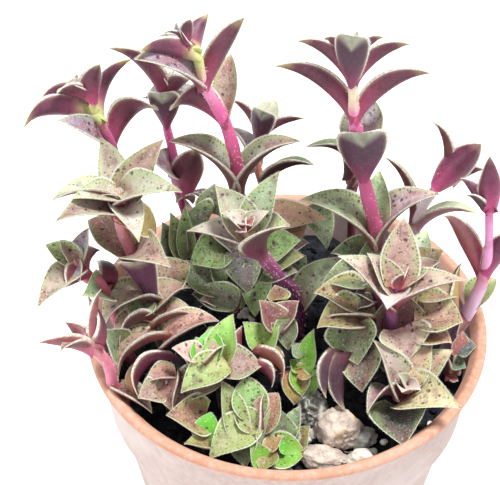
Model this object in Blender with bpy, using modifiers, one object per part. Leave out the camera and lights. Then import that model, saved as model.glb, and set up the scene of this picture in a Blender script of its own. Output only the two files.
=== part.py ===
"""A crassula of many leafy shoots with its stones in a small clay pot. Metres, +Z up, +Y away from the front."""

import math
import random

import bmesh
import bpy
import numpy as np
from mathutils import Vector
from mathutils.bvhtree import BVHTree

# Driving dimensions, millimetres
POT_HEIGHT = 80.0
LIP_RADIUS = 45.0
LIP_HEIGHT = 1.7
WALL = 1.4
COLLAR_FOOT_Z = 60.2
COLLAR_FOOT_RADIUS = 41.2
STEP = 2.0
BASE_RADIUS = 29.5
FLOOR = 2.6
DRAIN_RADIUS = 2.5
DRAIN_RING = 15.0
SOIL_TOP = 71.0
GAP = 0.3
LEAF_THICKNESS = 1.5
LEAF_GROOVE = 0.32

# The eye that the plant is laid out from: a row gives a point as it looks from here, with its depth along Y
EYE = np.array([-8.3, -240.8, 320.7])
PITCH = math.radians(42.0)
SCALE, MID_X, MID_Y = 1506.0, 250.0, 242.5
FORWARD = np.array([0, math.cos(PITCH), -math.sin(PITCH)])
RIGHT = np.array([1.0, 0, 0])
UP = np.array([0, math.sin(PITCH), math.cos(PITCH)])

# Each shoot: its axis from the soil up, its radii, and its leaves by piece.
# A leaf: where on the axis it starts, where its tip looks to be, its length, toward the eye (1) or away (-1),
# width, arch as a share of the length, how far its upper face turns to the eye in degrees, and its kind.
# A leaf of six: start and tip each as a point with its depth, then width, arch, turn and kind.
SHOOTS = {
"a": dict(axis=[("w",-30,11,71.5),(121,190,13),(112,146,14),(96,116,14),(91,98,14.5),(84,88,15)], rad=[1.3,1.15,1.1,1.0,0.9,0.6],
  groups={"a_pair":[(2.05,158,110,14.5,1,7,.33,-42,"purple"),(2.2,58,120,15,1,5.5,.06,50,"violetspot")],
          "a_head":[(3,23,129,18,1,6.4,.19,-38,"purplelime"),(2.9,131,59,15.5,-1,6,.13,-26,"purplelime"),
                    (4,100,64,10,1,5.2,.1,-58,"purple",dict(strap=False)),(4,37,107,12,1,4.6,.22,-42,"purple"),
                    (4.6,57,93,8,1,3.2,.1,-20,"purple"),(4.6,77,74,6.5,-1,3,.1,-20,"purple"),(4.8,66,84,5,1,3,.1,30,"grey"),(4.2,72,90,9,-1,5,.1,30,"grey")]}),
"b": dict(axis=[(155,301,-2),(144,278,-2),(132,254,-1),(121,226,-1),(119,203,-1),(119,192,-1)], rad=[1.5,1.4,1.35,1.3,1.1,0.6],
  groups={"b_base":[((154,300,-3),(133,262,-8),8.5,.0,-68,"fan"),(0.2,190,263,12.5,-1,10,.1,68,"leopard")],
          "b_pair":[(2,88,220,16,-1,9.5,.05,66,"barkleaf"),(2,170,267,14,1,9.5,.15,55,"tanpink")],
          "b_head":[(4,101,138,15,-1,7.5,.04,80,"lime",dict(fold=.5)),(4,182,192,16,1,8.5,.18,45,"lime"),(4,50,202,15,1,7,.2,28,"lime"),
                    (4.3,71,199,12,1,7,.14,45,"lime"),(3.6,55,222,17,1,8.5,.12,48,"olive"),(4,139,242,13,1,7,.1,66,"limepink"),
                    (3.8,164,139,17,-1,8.5,.06,68,"brown"),(4.6,101,196,6,1,3.4,.1,40,"limepink"),(4.6,132,183,6,-1,3.4,.1,50,"lime"),
                    (4.8,112,186,4.5,-1,2.6,.1,50,"lime"),(4.8,124,203,4.5,1,2.6,.1,60,"lime"),(3.5,156,236,12.5,-1,7.5,.08,60,"orangegreen")]}),
"c": dict(axis=[("w",-17,19,71.5),(178,190,21),(175,161,22),(166,122,22),(166,93,22),(168,80,22)], rad=[1.1,1.0,1.0,.95,.8,.5],
  groups={"c_pair":[(1.6,149,158,10,1,7,.05,50,"grey"),((185,190,20),(196,150,17),7.6,.04,-78,"purple",dict(strap=False))],
          "c_head":[((167,122,21),(161,93,17.5),7,-.05,-76,"heart"),(4,109,48,18,1,6.5,.08,-20,"purple"),(4,189,79,8,1,5,.1,-40,"purple"),
                    (3.9,186,84,8.5,-1,6,.1,60,"grey"),(3.9,148,97,7,-1,5,.1,40,"grey"),(4.6,158,72,4,1,2.6,.1,30,"lime"),(4.6,175,70,4,-1,2.6,.1,20,"lime")]}),
"d": dict(axis=[("w",-2,15,71.5),(246,212,12),(237,191,12),(236,160,12),(224,120,12.5),(204,85,13),(197,55,13.5),(186,40,14)], rad=[1.6,1.55,1.45,1.4,1.35,1.2,.95,.5],
  groups={"d_pair1":[(2,169,141,20,1,9,.14,27,"greenmauve"),(2,300,141,19,1,9,.14,22,"greenmauve")],
          "d_pair2":[(4,170,110,13.5,1,7.4,.29,-42,"purple"),(4.1,231,54,15,-1,6.0,-.06,66,"brown")],
          "d_head":[(5,134,59,17,1,7.5,.12,42,"violetspot"),(5,244,18,17,1,5,.1,-60,"purple"),(6,141,50,13,1,5,.1,-52,"purplelime"),
                    (6.2,208,14,9.5,-1,5,.14,-58,"purplelime"),(6.9,190,19,5.5,1,2.8,.08,-70,"purple"),(6.8,165,32,4.5,1,2.4,.1,-30,"purple"),
                    (6.6,156,38,6.5,1,3,.1,-30,"purple"),(6.5,176,22,6,-1,3,.1,40,"grey")]}),
"e": dict(axis=[("w",2,27,71.5),(258,170,29),(258,150,30),(259,139,30),(262,124,30)], rad=[1.0,.95,.9,.85,.5],
  groups={"e_pair":[(1,230,127,11,-1,5.5,.1,35,"grey"),(0.9,314,165,14,1,6,.12,5,"dark")],
          "e_head":[((259,140,29),(263,111,26),5.8,-.05,-74,"heart"),(3.6,275,100,8,-1,6,.0,70,"pale"),(3.5,231,100,8.5,1,3.4,.1,-12,"purple"),
                    (3.4,305,119,10.5,1,3.4,.1,-12,"purple"),(3.8,280,116,5,-1,2.6,.1,10,"dark")]}),
"f": dict(axis=[("w",20,9,71.5),(376,246,8),(374,222,8.5),(364,180,10),(357,135,11),(354,112,11.5),(353,82,12),(353,60,12),(353,46,12)], rad=[1.7,1.7,1.6,1.5,1.45,1.25,.98,.8,.5],
  groups={"f_pair1":[(1,300,200,20.5,1,10,.17,38,"greenbrown"),(1,439,194,19,1,9.5,.17,35,"mauve"),(1.3,380,171,12.5,-1,7.4,.05,72,"green")],
          "f_pair2":[(3.1,362,133,13,1,11,-.04,-88,"heart"),(3.6,370,97,13,-1,9.5,.05,75,"greyspot")],
          "f_pair3":[(4.8,275,66,20,1,5.4,.14,-42,"purple"),(4.8,431,73,19,1,5.4,.14,-40,"purple")],
          "f_head":[((353,81,11),(352,36,7.5),7.2,-.04,-76,"heart"),(6.1,297,41,13.5,1,4.3,.12,-40,"purple"),(6.1,410,44,13.5,1,4.3,.12,-40,"purple"),
                    (7,322,39,8.5,-1,3.4,.1,-25,"purple"),(7,383,37,8.5,-1,3.4,.1,-25,"purple"),(7.4,355,33,6.5,-1,4.4,.05,50,"pale"),(6.4,358,42,10,-1,6,.05,50,"grey")]}),
"g": dict(axis=[("w",16,18,71.5),(352,196,20),(352,184,20),(350,170,20)], rad=[1.2,1.1,1.0,.7],
  groups={"g_head":[(2,305,147,15,1,6,.3,2,"dark"),(2.6,341,150,8,1,5,.05,-10,"dark"),(2,372,160,12,-1,6,.1,40,"grey")]}),
"h": dict(axis=[("w",28,14,71.5),(414,228,15),(436,187,16),(441,172,16.5)], rad=[1.2,1.1,1.0,.6],
  groups={"h_head":[(2,481,144,15,1,6.8,.04,-84,"magenta"),((447,172,19),(433,122,20),3.4,.1,-20,"redbrown"),((452,181,18),(485,170,17),3,.1,-20,"magenta")],
          "h_pair":[(1.05,477,214,15,1,5.2,.13,14,"palegreen"),(1.1,385,157,15,-1,5.5,.1,5,"redbrown")]}),
"i": dict(axis=[("w",36,-1,71.5),(474,301,-2),(485,272,-2),(489,240,-1.5),(489,200,-1)], rad=[1.5,1.6,1.25,.9,.85],
  groups={"i_pair":[((483,275,0),(442,217,-8),4.7,.08,-62,"red",dict(strap=False)),(2,512,232,12,1,5.6,.05,-60,"magenta")],
          "i_low":[(0.9,496,279,8.5,-1,7,.1,62,"yellowgreen"),(0.7,460,322,8,1,6.5,.15,-70,"orange")],
          "i_head":[(3.75,490,156,12.5,1,5.2,.04,-84,"magenta",dict(strap=False)),(3.8,460,178,8,-1,3.6,.1,-60,"magenta",dict(strap=False)),(3.75,466,195,6.5,1,2.4,.05,-20,"dark"),(3.8,508,180,8,-1,4.2,.1,-30,"magenta",dict(strap=False))]}),
"k": dict(axis=[("w",20,-3,93),(391,330,-9),(392,309,-9.5),(397,290,-10),(400,280,-10)], rad=[1.8,1.6,1.3,1.1,.7],
  groups={"k_head":[(3,404,217,16,-1,9,.04,78,"tanpink"),(2.2,338,256,17,1,9.5,.1,44,"pinkgreen"),(2.8,367,253,11,1,6.5,.05,60,"pinkgreen"),
                    (2.2,465,280,18,1,9.5,.12,34,"pinkgreen"),(2.9,387,309,8.5,1,7,.0,60,"whitepink"),(3.3,412,264,6,-1,3.4,.05,30,"red"),
                    (3.4,404,274,4.5,1,3.4,.05,-30,"red"),(3.2,440,262,12,-1,7,.1,50,"tanpink"),
                    ((397,337,-8),(399,290,-5),12.5,.0,84,"wine",dict(strap=True)),((397,329,-12),(410,359,-18),12.5,.1,66,"pinkgreen",dict(hook=True))]}),
"l": dict(axis=[("w",26,-22,71.5),(402,404,-22),(406,388,-22.5),(409,379,-23)], rad=[1.7,1.6,1.3,.7],
  groups={"l_head":[((399,396,-23),(373,340,-17),8.5,.1,44,"greydots"),(1.8,453,350,14,-1,8.5,.05,65,"yellowspot"),(2,432,345,11,-1,8,.05,72,"yellowspot"),
                    (1.3,461,408,16,1,10.5,.12,62,"yellowspot"),(1.3,367,413,12,1,7,.25,12,"mauve"),
                    (2,402,392,6.5,1,5,.0,60,"limepink"),(2.4,398,374,5,1,3,.0,50,"lime"),(2.5,416,380,5,-1,3,.0,60,"limepink"),(2.3,421,390,6,1,3.4,0,60,"whitepink"),
                    (0.9,404,446,14,1,13,.08,80,"darkspot",dict(strap=True))]}),
"u": dict(axis=[("w",2.4,4,71.5),(299,300,6),(280,276,3),(259,252,0),(249,236,-1),(244,222,-1.5)], rad=[1.6,1.5,1.5,1.5,1.3,.6],
  groups={"u_pair":[(3.1,290,226,14,1,11,.12,8,"mauvegreen"),(3.3,187,231,15,1,7.4,.12,40,"limepink")],
          "u_head":[(4,215,185,13,-1,8.2,.04,75,"lime"),(4,280,171,15,-1,7.4,.05,72,"greenbrown"),(4.6,221,213,6.5,1,4.4,.1,50,"limepink"),
                    (4.6,269,211,6.5,1,4.2,.1,55,"limepink"),(4.8,246,232,5,1,3.6,.05,40,"red"),(4.8,256,209,5,-1,3,.05,60,"limepink"),(4.9,236,212,4.5,-1,3,.05,60,"lime"),(4.9,252,226,5.5,1,3.6,0,40,"red")]}),
"r": dict(axis=[("w",-35,-4,71.5),(104,290,-5),(86,277,-6),(77,266,-6.5),(74,259,-6.5)], rad=[1.3,1.3,1.2,1.0,.6],
  groups={"r_head":[(2.7,37,308,14,1,7,.12,55,"olive"),(3,45,245,9,-1,6,.08,60,"yellowgreen"),(3.4,60,240,7,-1,4.4,.05,60,"olive"),
                    (3,89,228,10.5,-1,5,.05,50,"grey"),(3.4,80,281,5.5,1,3.4,0,60,"grey"),(2.4,100,250,10,-1,5.5,.1,-10,"redbrown"),(2.4,68,286,9,1,5.5,.1,-40,"red"),
                    (1,82,296,11,1,8,.05,72,"green"),(1,96,261,11,-1,5.5,-.3,-30,"violet")]}),
"s": dict(axis=[("w",-36,-16,71.5),(113,384,-19),(108,364,-20),(91,346,-21),(84,339,-21)], rad=[1.3,1.3,1.3,1.3,.7],
  groups={"s_head":[(3,37,343,12.5,1,4.8,.04,-18,"pink"),(3,88,296,12,-1,5.6,-.2,12,"purplegrey"),(3.6,65,322,6,1,3.4,.05,-60,"red"),
                    (2.9,101,289,12.5,-1,4.6,.05,-10,"pinkbrown"),(3.4,60,352,8,1,4,.1,20,"olive"),(.9,(152,413,-27),6,.06,42,"olive")]}),
}

COLUMNS = {
"m": dict(axis=[("w",-25,-21,71.5),("w",-27,-14,82),("w",-29,-7,92)], rad=[2.4,2.2,1.8],
  groups={"m_upper":[((160,301,-3),(103,329,-10),9,.34,38,"paleolive",dict(fold=.6,strap=True)),((150,314,-5),(191,288,-1),9,.2,42,"tan",dict(fold=.6)),((152,328,-8),(199,319,-7),9,.24,26,"tan",dict(fold=.6)),
                   ((162,324,-7),(119,351,-14),8,.34,12,"maroon",dict(fold=.65,strap=True)),((214,306,-2),(200,300,-2),5,.1,30,"maroon"),((158,349,-13),(219,321,-9),8.5,.14,38,"tanbrown",dict(fold=.55,strap=True)),((150,300,-4),(130,320,-8),8,.05,60,"green"),(("w",-28,-7,88),("w",-38,4,89),8,.1,80,"tan")],
          "m_lower":[((172,336,-11),(118,380,-19),9,.24,22,"tan",dict(fold=.6,strap=True)),((174,357,-14),(146,409,-25),9,.36,4,"orangepurple",dict(fold=.5,strap=True)),
                   ((178,376,-17),(144,384,-22),6,.14,46,"brownpink"),((176,374,-18),(173,412,-26),7.5,.12,40,"brownpink"),((180,378,-18),(178,398,-22),5,.2,-30,"magenta"),((216,378,-17),(172,411,-25),10,.08,55,"olivegreen"),
                   ((206,420,-26),(166,415,-29),10,.06,66,"ochre"),((120,352,-13),(101,330,-15),8,.05,60,"greygreen"),((158,394,-23),(138,398,-26),7,.1,60,"olive")]}),
"n": dict(axis=[("w",-14.2,-17,71),("w",-15,-18,80),("w",-15,-18,85)], rad=[2.0,1.8,1.2],
  groups={"n_leaves":[((222,362,-18),(233,314,-11),8,.08,62,"limegreen"),((228,364,-20),(181,393,-25),8.5,.1,62,"yellowgreen"),((204,364,-19),(196,337,-14),6.5,.05,66,"young"),((212,362,-19),(212,328,-12),7,.05,66,"young"),
                    ((200,360,-19),(172,348,-17),6,.08,50,"pinktan"),((190,352,-17),(197,373,-21),5.5,.05,60,"pinktan"),((204,362,-19),(226,345,-17),8,.12,28,"tan"),
                    ((216,347,-14),(210,326,-10),6,.05,60,"bright"),((218,369,-19),(262,366,-17),9.5,.1,58,"olive"),((236,362,-15),(242,326,-10),6,.05,-25,"red"),((208,354,-18),(205,345,-16),3,0,60,"bright")]}),
"j": dict(axis=[("w",24,-14,71),("w",23,-10,84),("w",22,0,92)], rad=[2.4,2.2,1.8],
  groups={"j_upper":[((366,283,-1),(322,284,-1),9.5,.16,50,"darkgreen"),((372,262,5),(331,253,5),9,.1,50,"darkgreen"),((374,300,-5),(355,293,-5),6,.05,35,"olivedark"),
                   ((362,306,-5),(314,293,-4),11,.14,52,"oliveyellow"),((416,276,0),(443,250,2),10,.08,58,"tanolive"),((418,262,3),(427,230,8),7,.05,62,"palegreen"),
                   ((418,297,-5),(459,297,-5),8.5,.14,48,"tanolive"),((452,312,-6),(462,262,-1),4.5,.03,10,"greenyellow"),((377,262,5),(372,236,9),9,.03,70,"greygreen")],
          "j_lower":[((364,322,-10),(317,328,-11),12,.16,46,"oliveyellow"),((376,318,-9.5),(322,321,-9.5),6.5,.12,26,"oliveyellow"),((356,322,-10),(358,365,-18),12,.06,70,"greenspot"),
                   ((366,344,-14),(362,392,-22),10.5,.05,66,"olivedark"),((392,350,-15),(384,372,-19),7,.05,66,"darkgreen"),((414,318,-9),(463,322,-9),11.5,.14,60,"tanolive"),((412,336,-12),(452,343,-13),9,.14,52,"tanorange"),
                   ((338,350,-15),(326,398,-23),5,.1,-45,"wineunder"),((346,352,-16),(346,411,-25),6,.12,-50,"wineunder"),((375,302,-7),(357,310,-8),6,.05,30,"olivedark"),
                   (("w",24,-5,79),("w",34,5,80),9,.1,85,"tanolive"),(("w",23,-4,83),("w",28,11,83),9,.1,85,"oliveyellow")]}),
"t": dict(axis=[("w",-7,10,71),("w",-7,12,84),("w",-8,15,94)], rad=[2.6,2.4,1.9],
  groups={"t_upper":[((208,222,16),(187,213,17),9,.06,66,"darkgreen"),((214,214,18),(215,183,21),7.5,.05,66,"greygreen"),((228,250,10),(190,264,7),10,.1,66,"greenspots"),
                   ((212,230,14),(234,256,9),8,.08,40,"darkgrey"),((236,250,10),(248,294,3),9,.06,74,"darkgrey"),((258,220,16),(327,220,15),8,.06,62,"orangedry"),((286,222,16),(302,241,12),8,.08,66,"orangedry"),
                   ((192,200,20),(176,204,18),6,.3,20,"drybrown"),((209,200,22),(191,192,23),5,.05,20,"drydark"),((192,252,12),(184,198,20),4,.05,60,"drypink"),
                   (("w",-8,16,90),("w",-13,30,91),9,.1,88,"greygreen"),(("w",-7,16,86),("w",4,27,87),9,.1,85,"greygreen")],
          "t_lower":[((222,264,9),(243,308,1),10.5,.06,66,"darkgreen"),((260,262,8),(255,317,0),8,.05,70,"greenspots"),((200,276,8),(241,309,0),9,.1,52,"greenyellow"),
                   ((264,252,8),(301,240,8),8.5,.06,68,"greenspots"),((264,266,6),(304,256,6),8,.06,60,"greenyellow"),((262,276,5),(298,272,4),7,.06,56,"darkgreen"),((292,249,9),(309,243,9),4,.1,50,"drybrown"),((308,206,20),(327,249,12),7.5,.05,60,"greygreen"),
                   ((190,258,11),(186,205,17),5,.05,62,"greenspots"),((180,256,12),(170,212,17),6,.05,60,"yellowgreen"),((172,262,11),(162,222,15),8,.05,64,"greygreen"),((190,284,6),(170,262,8),8,.05,60,"darkgreen"),((222,292,2),(178,274,6),9,.1,60,"darkgreen"),((238,306,-2),(192,294,2),8,.08,60,"greengrey"),
                   (("w",-6,14,78),("w",-12,27,79),10,.1,88,"darkgreen"),(("w",-5,13,76),("w",5,24,78),9,.1,85,"darkgreen"),(("w",-9,13,77),("w",-22,21,78),9,.1,85,"darkgreen")]}),
"p": dict(axis=[("w",2.5,-12,71.5),("w",3,-12.5,74.5),("w",3,-13,77)], rad=[1.5,1.4,1.0],
  groups={"p_leaves":[((300,366,-13),(306,400,-18),8,.05,72,"bright"),((308,368,-13),(314,329,-8),5,.05,62,"bright"),((302,357,-12),(292,345,-10),6,.05,50,"greygreen"),
                    ((296,376,-15),(315,374,-14),5,.08,50,"orangegreen"),((286,372,-15),(294,405,-19.5),8.5,.1,50,"orangegreen"),((300,372,-14),(290,360,-12),5,.05,50,"bright")]}),
"v": dict(axis=[("w",-3,-3,71.5),("w",-3,-6,78),("w",-3,-7,83)], rad=[1.5,1.4,1.0],
  groups={"v_leaves":[((303,306,4),(349,257,8),8.5,.16,52,"greenbrown"),((262,350,-12),(243,322,-8),7.5,.08,58,"limegreen"),((262,350,-12),(280,323,-8),7.5,.08,58,"limegreen"),((276,334,-9),(299,301,-2),9,.1,46,"redleaf"),
                    ((276,332,-9),(259,300,-4),8,.06,50,"redleaf"),((290,318,-8),(288,350,-12),6,.05,62,"greygreen"),((276,300,-2),(275,285,0),6,.03,60,"ochre"),((277,368,-15),(254,352,-13),7,.08,45,"orangegreen"),
                    ((254,362,-16),(272,387,-20),4.6,.14,-22,"redleaf"),((252,350,-14),(283,379,-18),5,.18,-20,"orange")]}),
"o": dict(axis=[("w",-8,-27,71.5),("w",-8,-27,74.5),("w",-8,-27,77)], rad=[1.5,1.4,1.0],
  groups={"o_leaves":[((251,420,-27),(247,376,-20),8.2,.04,78,"greenspots",dict(strap=True)),((238,446,-31),(222,381,-22),6.5,.04,62,"yellowgreen",dict(strap=True)),((253,424,-28),(209,459,-36),9,.05,74,"yellowgreen"),
                    ((255,430,-29),(231,406,-25),6,.05,66,"yellowgreen"),((262,432,-29),(278,393,-23),9,.08,60,"tanorange",dict(strap=True)),((260,432,-29),(264,394,-24),5.5,.06,30,"brownpink"),((250,436,-30),(246,468,-36),8,.06,50,"greygreen")]}),
"q": dict(axis=[("w",-2.8,-31,71.5),("w",-2.8,-31,75),("w",-2.8,-31,77.5)], rad=[1.3,1.2,.9],
  groups={"q_leaves":[((274,450,-31),(273,404,-25),10,.04,78,"green"),((264,453,-33),(305,453,-33),8.4,.05,72,"bright",dict(strap=True)),((262,466,-36),(250,441,-33),5.4,.05,66,"bright"),
                    ((270,453,-34),(261,472,-38),6,.05,66,"tangreen"),((268,452,-34),(284,436,-31),4.2,.05,50,"orangegreen"),((288,452,-33),(279,438,-31),4.5,.05,60,"young"),
                    ((288,440,-30),(300,406,-24),5,.06,62,"green"),((296,448,-31),(310,426,-28),6,.05,62,"tangreen")]}),
"w": dict(axis=[("w",-18,-30,71.5),("w",-18,-30,74.5),("w",-18,-30,76.5)], rad=[1.2,1.1,.9],
  groups={"w_leaves":[((208,447,-32),(211,412,-26),6,.07,72,"young",dict(strap=True)),((211,445,-32),(184,444,-34),4.4,.1,50,"tangreen"),((206,438,-31),(198,430,-29),5,.05,70,"bright")]}),
"x": dict(axis=[("w",34,-9,71.5),("w",34,-10,75),("w",34,-11,78)], rad=[1.2,1.1,.8],
  groups={"x_leaves":[((450,376,-12),(447,354,-8),6,.05,20,"red"),((452,366,-11),(466,368,-12),5,.05,45,"greendark"),((456,356,-9),(462,330,-5),5,.05,60,"red"),((458,350,-8),(476,346,-8),6,.05,60,"greydark"),((446,378,-13),(458,381,-13),4,.05,40,"red")]}),
}

# Stones: centre, half sizes, turn in degrees, seed
STONES = {
    "stone_tan": ((10.9, -26.2, 73.6), (5.0, 5.2, 4.0), 20, 3),
    "stone_front": ((7.6, -33.7, 72.6), (5.4, 3.0, 2.6), -6, 5),
    "stone_white": ((15.1, -33.8, 72.4), (3.5, 2.3, 2.2), 8, 7),
    "bark_grey": ((4.8, -20.6, 73.2), (4.0, 4.0, 3.4), 35, 11),
    "stone_grey": ((16.3, -28.0, 72.4), (3.2, 2.6, 2.4), 60, 13),
}

NO_STEM = ("k", "l", "m", "n", "j", "t", "p", "v", "o", "q", "w", "x")
# The order in which pieces keep their full shape where neighbours press on each other
ORDER = ("l k o q p n m j v u i f b t w x d a r s h c g e").split()

COLOURS = {
    "pot": (0.82, 0.62, 0.52), "soil": (0.03, 0.03, 0.035), "stone_tan": (0.62, 0.53, 0.42),
    "stone_front": (0.64, 0.55, 0.42), "stone_white": (0.8, 0.78, 0.7), "bark_grey": (0.4, 0.4, 0.38), "stone_grey": (0.5, 0.5, 0.47),
}


def unit(v):
    return v / max(1e-9, np.linalg.norm(v))


def ray(px, py):
    return FORWARD + RIGHT * (px - MID_X) / SCALE + UP * (MID_Y - py) / SCALE


def seen(px, py, y):
    d = ray(px, py)
    return EYE + d * ((y - EYE[1]) / d[1])


def point(p):
    return np.array(p[1:], float) if p[0] == "w" else seen(*p)


def tip_at(start, px, py, length, near):
    d = unit(ray(px, py))
    m = EYE - start
    b = m @ d
    rest = b * b - m @ m + length**2
    if rest < 0:
        return EYE - d * b
    return EYE + d * (-b - math.copysign(math.sqrt(rest), near))


def along(points, k):
    i = min(int(k), len(points) - 2)
    return points[i] + (points[i + 1] - points[i]) * (k - i)


def nearest(points, p):
    steps = [i + f / 6 for i in range(len(points) - 1) for f in range(7)]
    return min(steps, key=lambda k: np.linalg.norm(p - along(points, k)))


def leaf_frame(start, tip, axis, turn):
    c = unit(tip - start)
    v = unit(EYE - (start + tip) / 2)
    v = unit(v - c * (v @ c))
    u = np.cross(c, v)
    if u @ (axis - c * (c @ axis)) < 0:
        u = -u
    a = math.radians(turn)
    n = unit(u * math.cos(a) + v * math.sin(a))
    return c, n, np.cross(c, n)


def half_width(t, kind, strap):
    """Half width along a leaf: the young shoots' leaves are straps, the others egg-shaped with a drawn-out tip."""
    if kind == "heart":
        return (0.3 + 0.7 * math.sin(math.pi / 2 * min(1.0, t / 0.72))) * math.sqrt(max(0.0, 1 - max(0.0, (t - 0.72) / 0.31) ** 2.4))
    if kind == "fan":
        return (0.45 + 0.55 * min(1.0, t / 0.85) ** 1.2) * math.sqrt(max(0.0, 1 - max(0.0, (t - 0.82) / 0.19) ** 2.2))
    wide, power, last, foot = (0.4, 2.1, 0.92, 0.5) if strap else (0.34, 1.55, 1.05, 0.7)
    if t < wide:
        return foot + (1 - foot) * math.sin(math.pi / 2 * t / wide)
    return max(0.0, 1 - ((t - wide) / (1 - wide)) ** power) ** last


def bow(t, arch, hook):
    """How far a leaf stands above its chord, as a share of its length."""
    rise = 1 - abs(2 * t - 1) ** 2.7 if hook else t**0.75 * (1 - t) / 0.3027
    return arch * rise + 0.11 * (t**1.6 - t**6)


def add_object(name, mesh, collection):
    obj = bpy.data.objects.new(name, mesh)
    collection.objects.link(obj)
    return obj


def mesh_from(name, points, faces):
    mesh = bpy.data.meshes.new(name)
    mesh.from_pydata([tuple(float(x) / 1000 for x in p) for p in points], [], faces)
    work = bmesh.new()
    work.from_mesh(mesh)
    bmesh.ops.recalc_face_normals(work, faces=work.faces)
    bmesh.ops.triangulate(work, faces=work.faces)
    work.to_mesh(mesh)
    work.free()
    return mesh


def leaf_mesh(name, start, tip, frame, width, arch, kind, strap, hook, fat=0.0):
    """A loft of grooved sections that thin towards the margins and close in a point."""
    c, n, s = frame
    length = np.linalg.norm(tip - start)
    stops = (0.0, 0.25, 0.55, 0.82) if length > 6 else (0.0, 0.35, 0.75)
    points, faces = [], []
    for i, t in enumerate(stops):
        p = start + c * length * t + n * bow(t, arch, hook) * length
        if i == 0:
            p = p - c * fat
        w = width / 2 * half_width(t, kind, strap)
        thick = LEAF_THICKNESS * (1.0 - 0.65 * t) * min(1.0, length / 9)
        lift = LEAF_GROOVE * w
        if fat:
            points += [p + s * (w + fat) + n * (lift + fat), p + n * fat, p - s * (w + fat) + n * (lift + fat),
                       p - s * (w + fat) + n * (lift - fat), p - n * (thick + fat), p + s * (w + fat) + n * (lift - fat)]
        else:
            points += [p + s * w + n * lift, p, p - s * w + n * lift, p - n * thick]
    per = 6 if fat else 4
    for i in range(len(stops) - 1):
        for j in range(per):
            a, b = i * per + j, i * per + (j + 1) % per
            faces.append((a, b, b + per, a + per))
    last = (len(stops) - 1) * per
    points.append(tip + c * fat * 2)
    faces += [(last + j, last + (j + 1) % per, len(points) - 1) for j in range(per)]
    faces.append(tuple(range(per)))
    return mesh_from(name, points, faces)


def tube_mesh(name, points, radii, sides=8, fat=0.0):
    rings, faces = [], []
    for i, p in enumerate(points):
        d = unit(points[min(i + 1, len(points) - 1)] - points[max(i - 1, 0)])
        u = unit(np.cross(d, np.array([0.3, 1.0, 0.1])))
        v = np.cross(d, u)
        q = p - d * fat if i == 0 else p + d * fat if i == len(points) - 1 else p
        for j in range(sides):
            a = 2 * math.pi * j / sides
            rings.append(q + (u * math.cos(a) + v * math.sin(a)) * (radii[i] + fat))
    for i in range(len(points) - 1):
        for j in range(sides):
            a, b = i * sides + j, i * sides + (j + 1) % sides
            faces.append((a, b, b + sides, a + sides))
    faces.append(tuple(range(sides)))
    faces.append(tuple(range((len(points) - 1) * sides, len(points) * sides)))
    return mesh_from(name, rings, faces)


def evaluated_mesh(obj):
    bpy.context.view_layer.update()
    graph = bpy.context.evaluated_depsgraph_get()
    return bpy.data.meshes.new_from_object(obj.evaluated_get(graph))


def closed(mesh):
    work = bmesh.new()
    work.from_mesh(mesh)
    bmesh.ops.remove_doubles(work, verts=work.verts, dist=1e-7)
    good = len(work.faces) > 3 and all(len(e.link_faces) == 2 for e in work.edges) and work.calc_volume(signed=True) > 0
    work.free()
    return good


def volume(mesh):
    work = bmesh.new()
    work.from_mesh(mesh)
    size = work.calc_volume(signed=True)
    work.free()
    return size


def lighten(obj, target, others=()):
    """Takes out the small triangles that a join leaves, where the body stays closed and clear of the others."""
    largest_body(obj.data)
    before, size = obj.data, volume(obj.data)
    for share in (1.0, 1.3, 1.7, 2.3, 3.0, 4.0):
        if len(before.polygons) <= target * share:
            return
        modifier = obj.modifiers.new("lighten", "DECIMATE")
        modifier.ratio = target * share / len(before.polygons)
        modifier.use_collapse_triangulate = True
        made = evaluated_mesh(obj)
        obj.modifiers.clear()
        if not closed(made) or abs(volume(made) - size) > 0.15 * size:
            continue
        obj.data = made
        own = tree_of(obj)
        if not any(own.overlap(tree) for tree in others):
            return
        obj.data = before
    print("kept heavy:", obj.name, len(before.polygons), "closed", closed(before), "size", size * 1e9)


def largest_body(mesh):
    """Keeps the biggest connected body of the mesh."""
    work = bmesh.new()
    work.from_mesh(mesh)
    bmesh.ops.remove_doubles(work, verts=work.verts, dist=1e-7)
    bmesh.ops.triangulate(work, faces=work.faces)
    left = set(work.faces)
    bodies = []
    while left:
        todo = [left.pop()]
        body = set(todo)
        while todo:
            for e in todo.pop().edges:
                for f in e.link_faces:
                    if f in left:
                        left.discard(f)
                        body.add(f)
                        todo.append(f)
        size = sum(f.verts[0].co.dot(f.verts[1].co.cross(f.verts[2].co)) for f in body)
        bodies.append((size, body))
    bodies.sort(key=lambda b: -b[0])
    drop = [f for _, body in bodies[1:] for f in body]
    bmesh.ops.delete(work, geom=drop, context="FACES")
    work.to_mesh(mesh)
    work.free()
    return mesh


def combine(obj, others, operation):
    """One Boolean of the object with all the others. EXACT first, then MANIFOLD one by one where that doesn't close."""
    helper = bpy.data.collections.new("operands")
    bpy.context.scene.collection.children.link(helper)
    for other in others:
        helper.objects.link(other)
    modifier = obj.modifiers.new("join", "BOOLEAN")
    modifier.operation = operation
    modifier.operand_type = "COLLECTION"
    modifier.collection = helper
    modifier.solver = "EXACT"
    made = evaluated_mesh(obj)
    obj.modifiers.clear()
    if closed(made) and (operation == "UNION" or volume(made) > 0.3 * volume(obj.data)):
        obj.data = made
    else:
        for other in others:
            for solver in ("MANIFOLD", "EXACT"):
                modifier = obj.modifiers.new("join", "BOOLEAN")
                modifier.operation = operation
                modifier.object = other
                modifier.solver = solver
                made = evaluated_mesh(obj)
                obj.modifiers.clear()
                if closed(made):
                    obj.data = made
                    break
            else:
                print("no closed result:", obj.name, other.name)
    for other in others:
        helper.objects.unlink(other)
    bpy.data.collections.remove(helper)


def tree_of(obj):
    work = bmesh.new()
    work.from_mesh(obj.data)
    tree = BVHTree.FromBMesh(work)
    work.free()
    return tree


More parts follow.
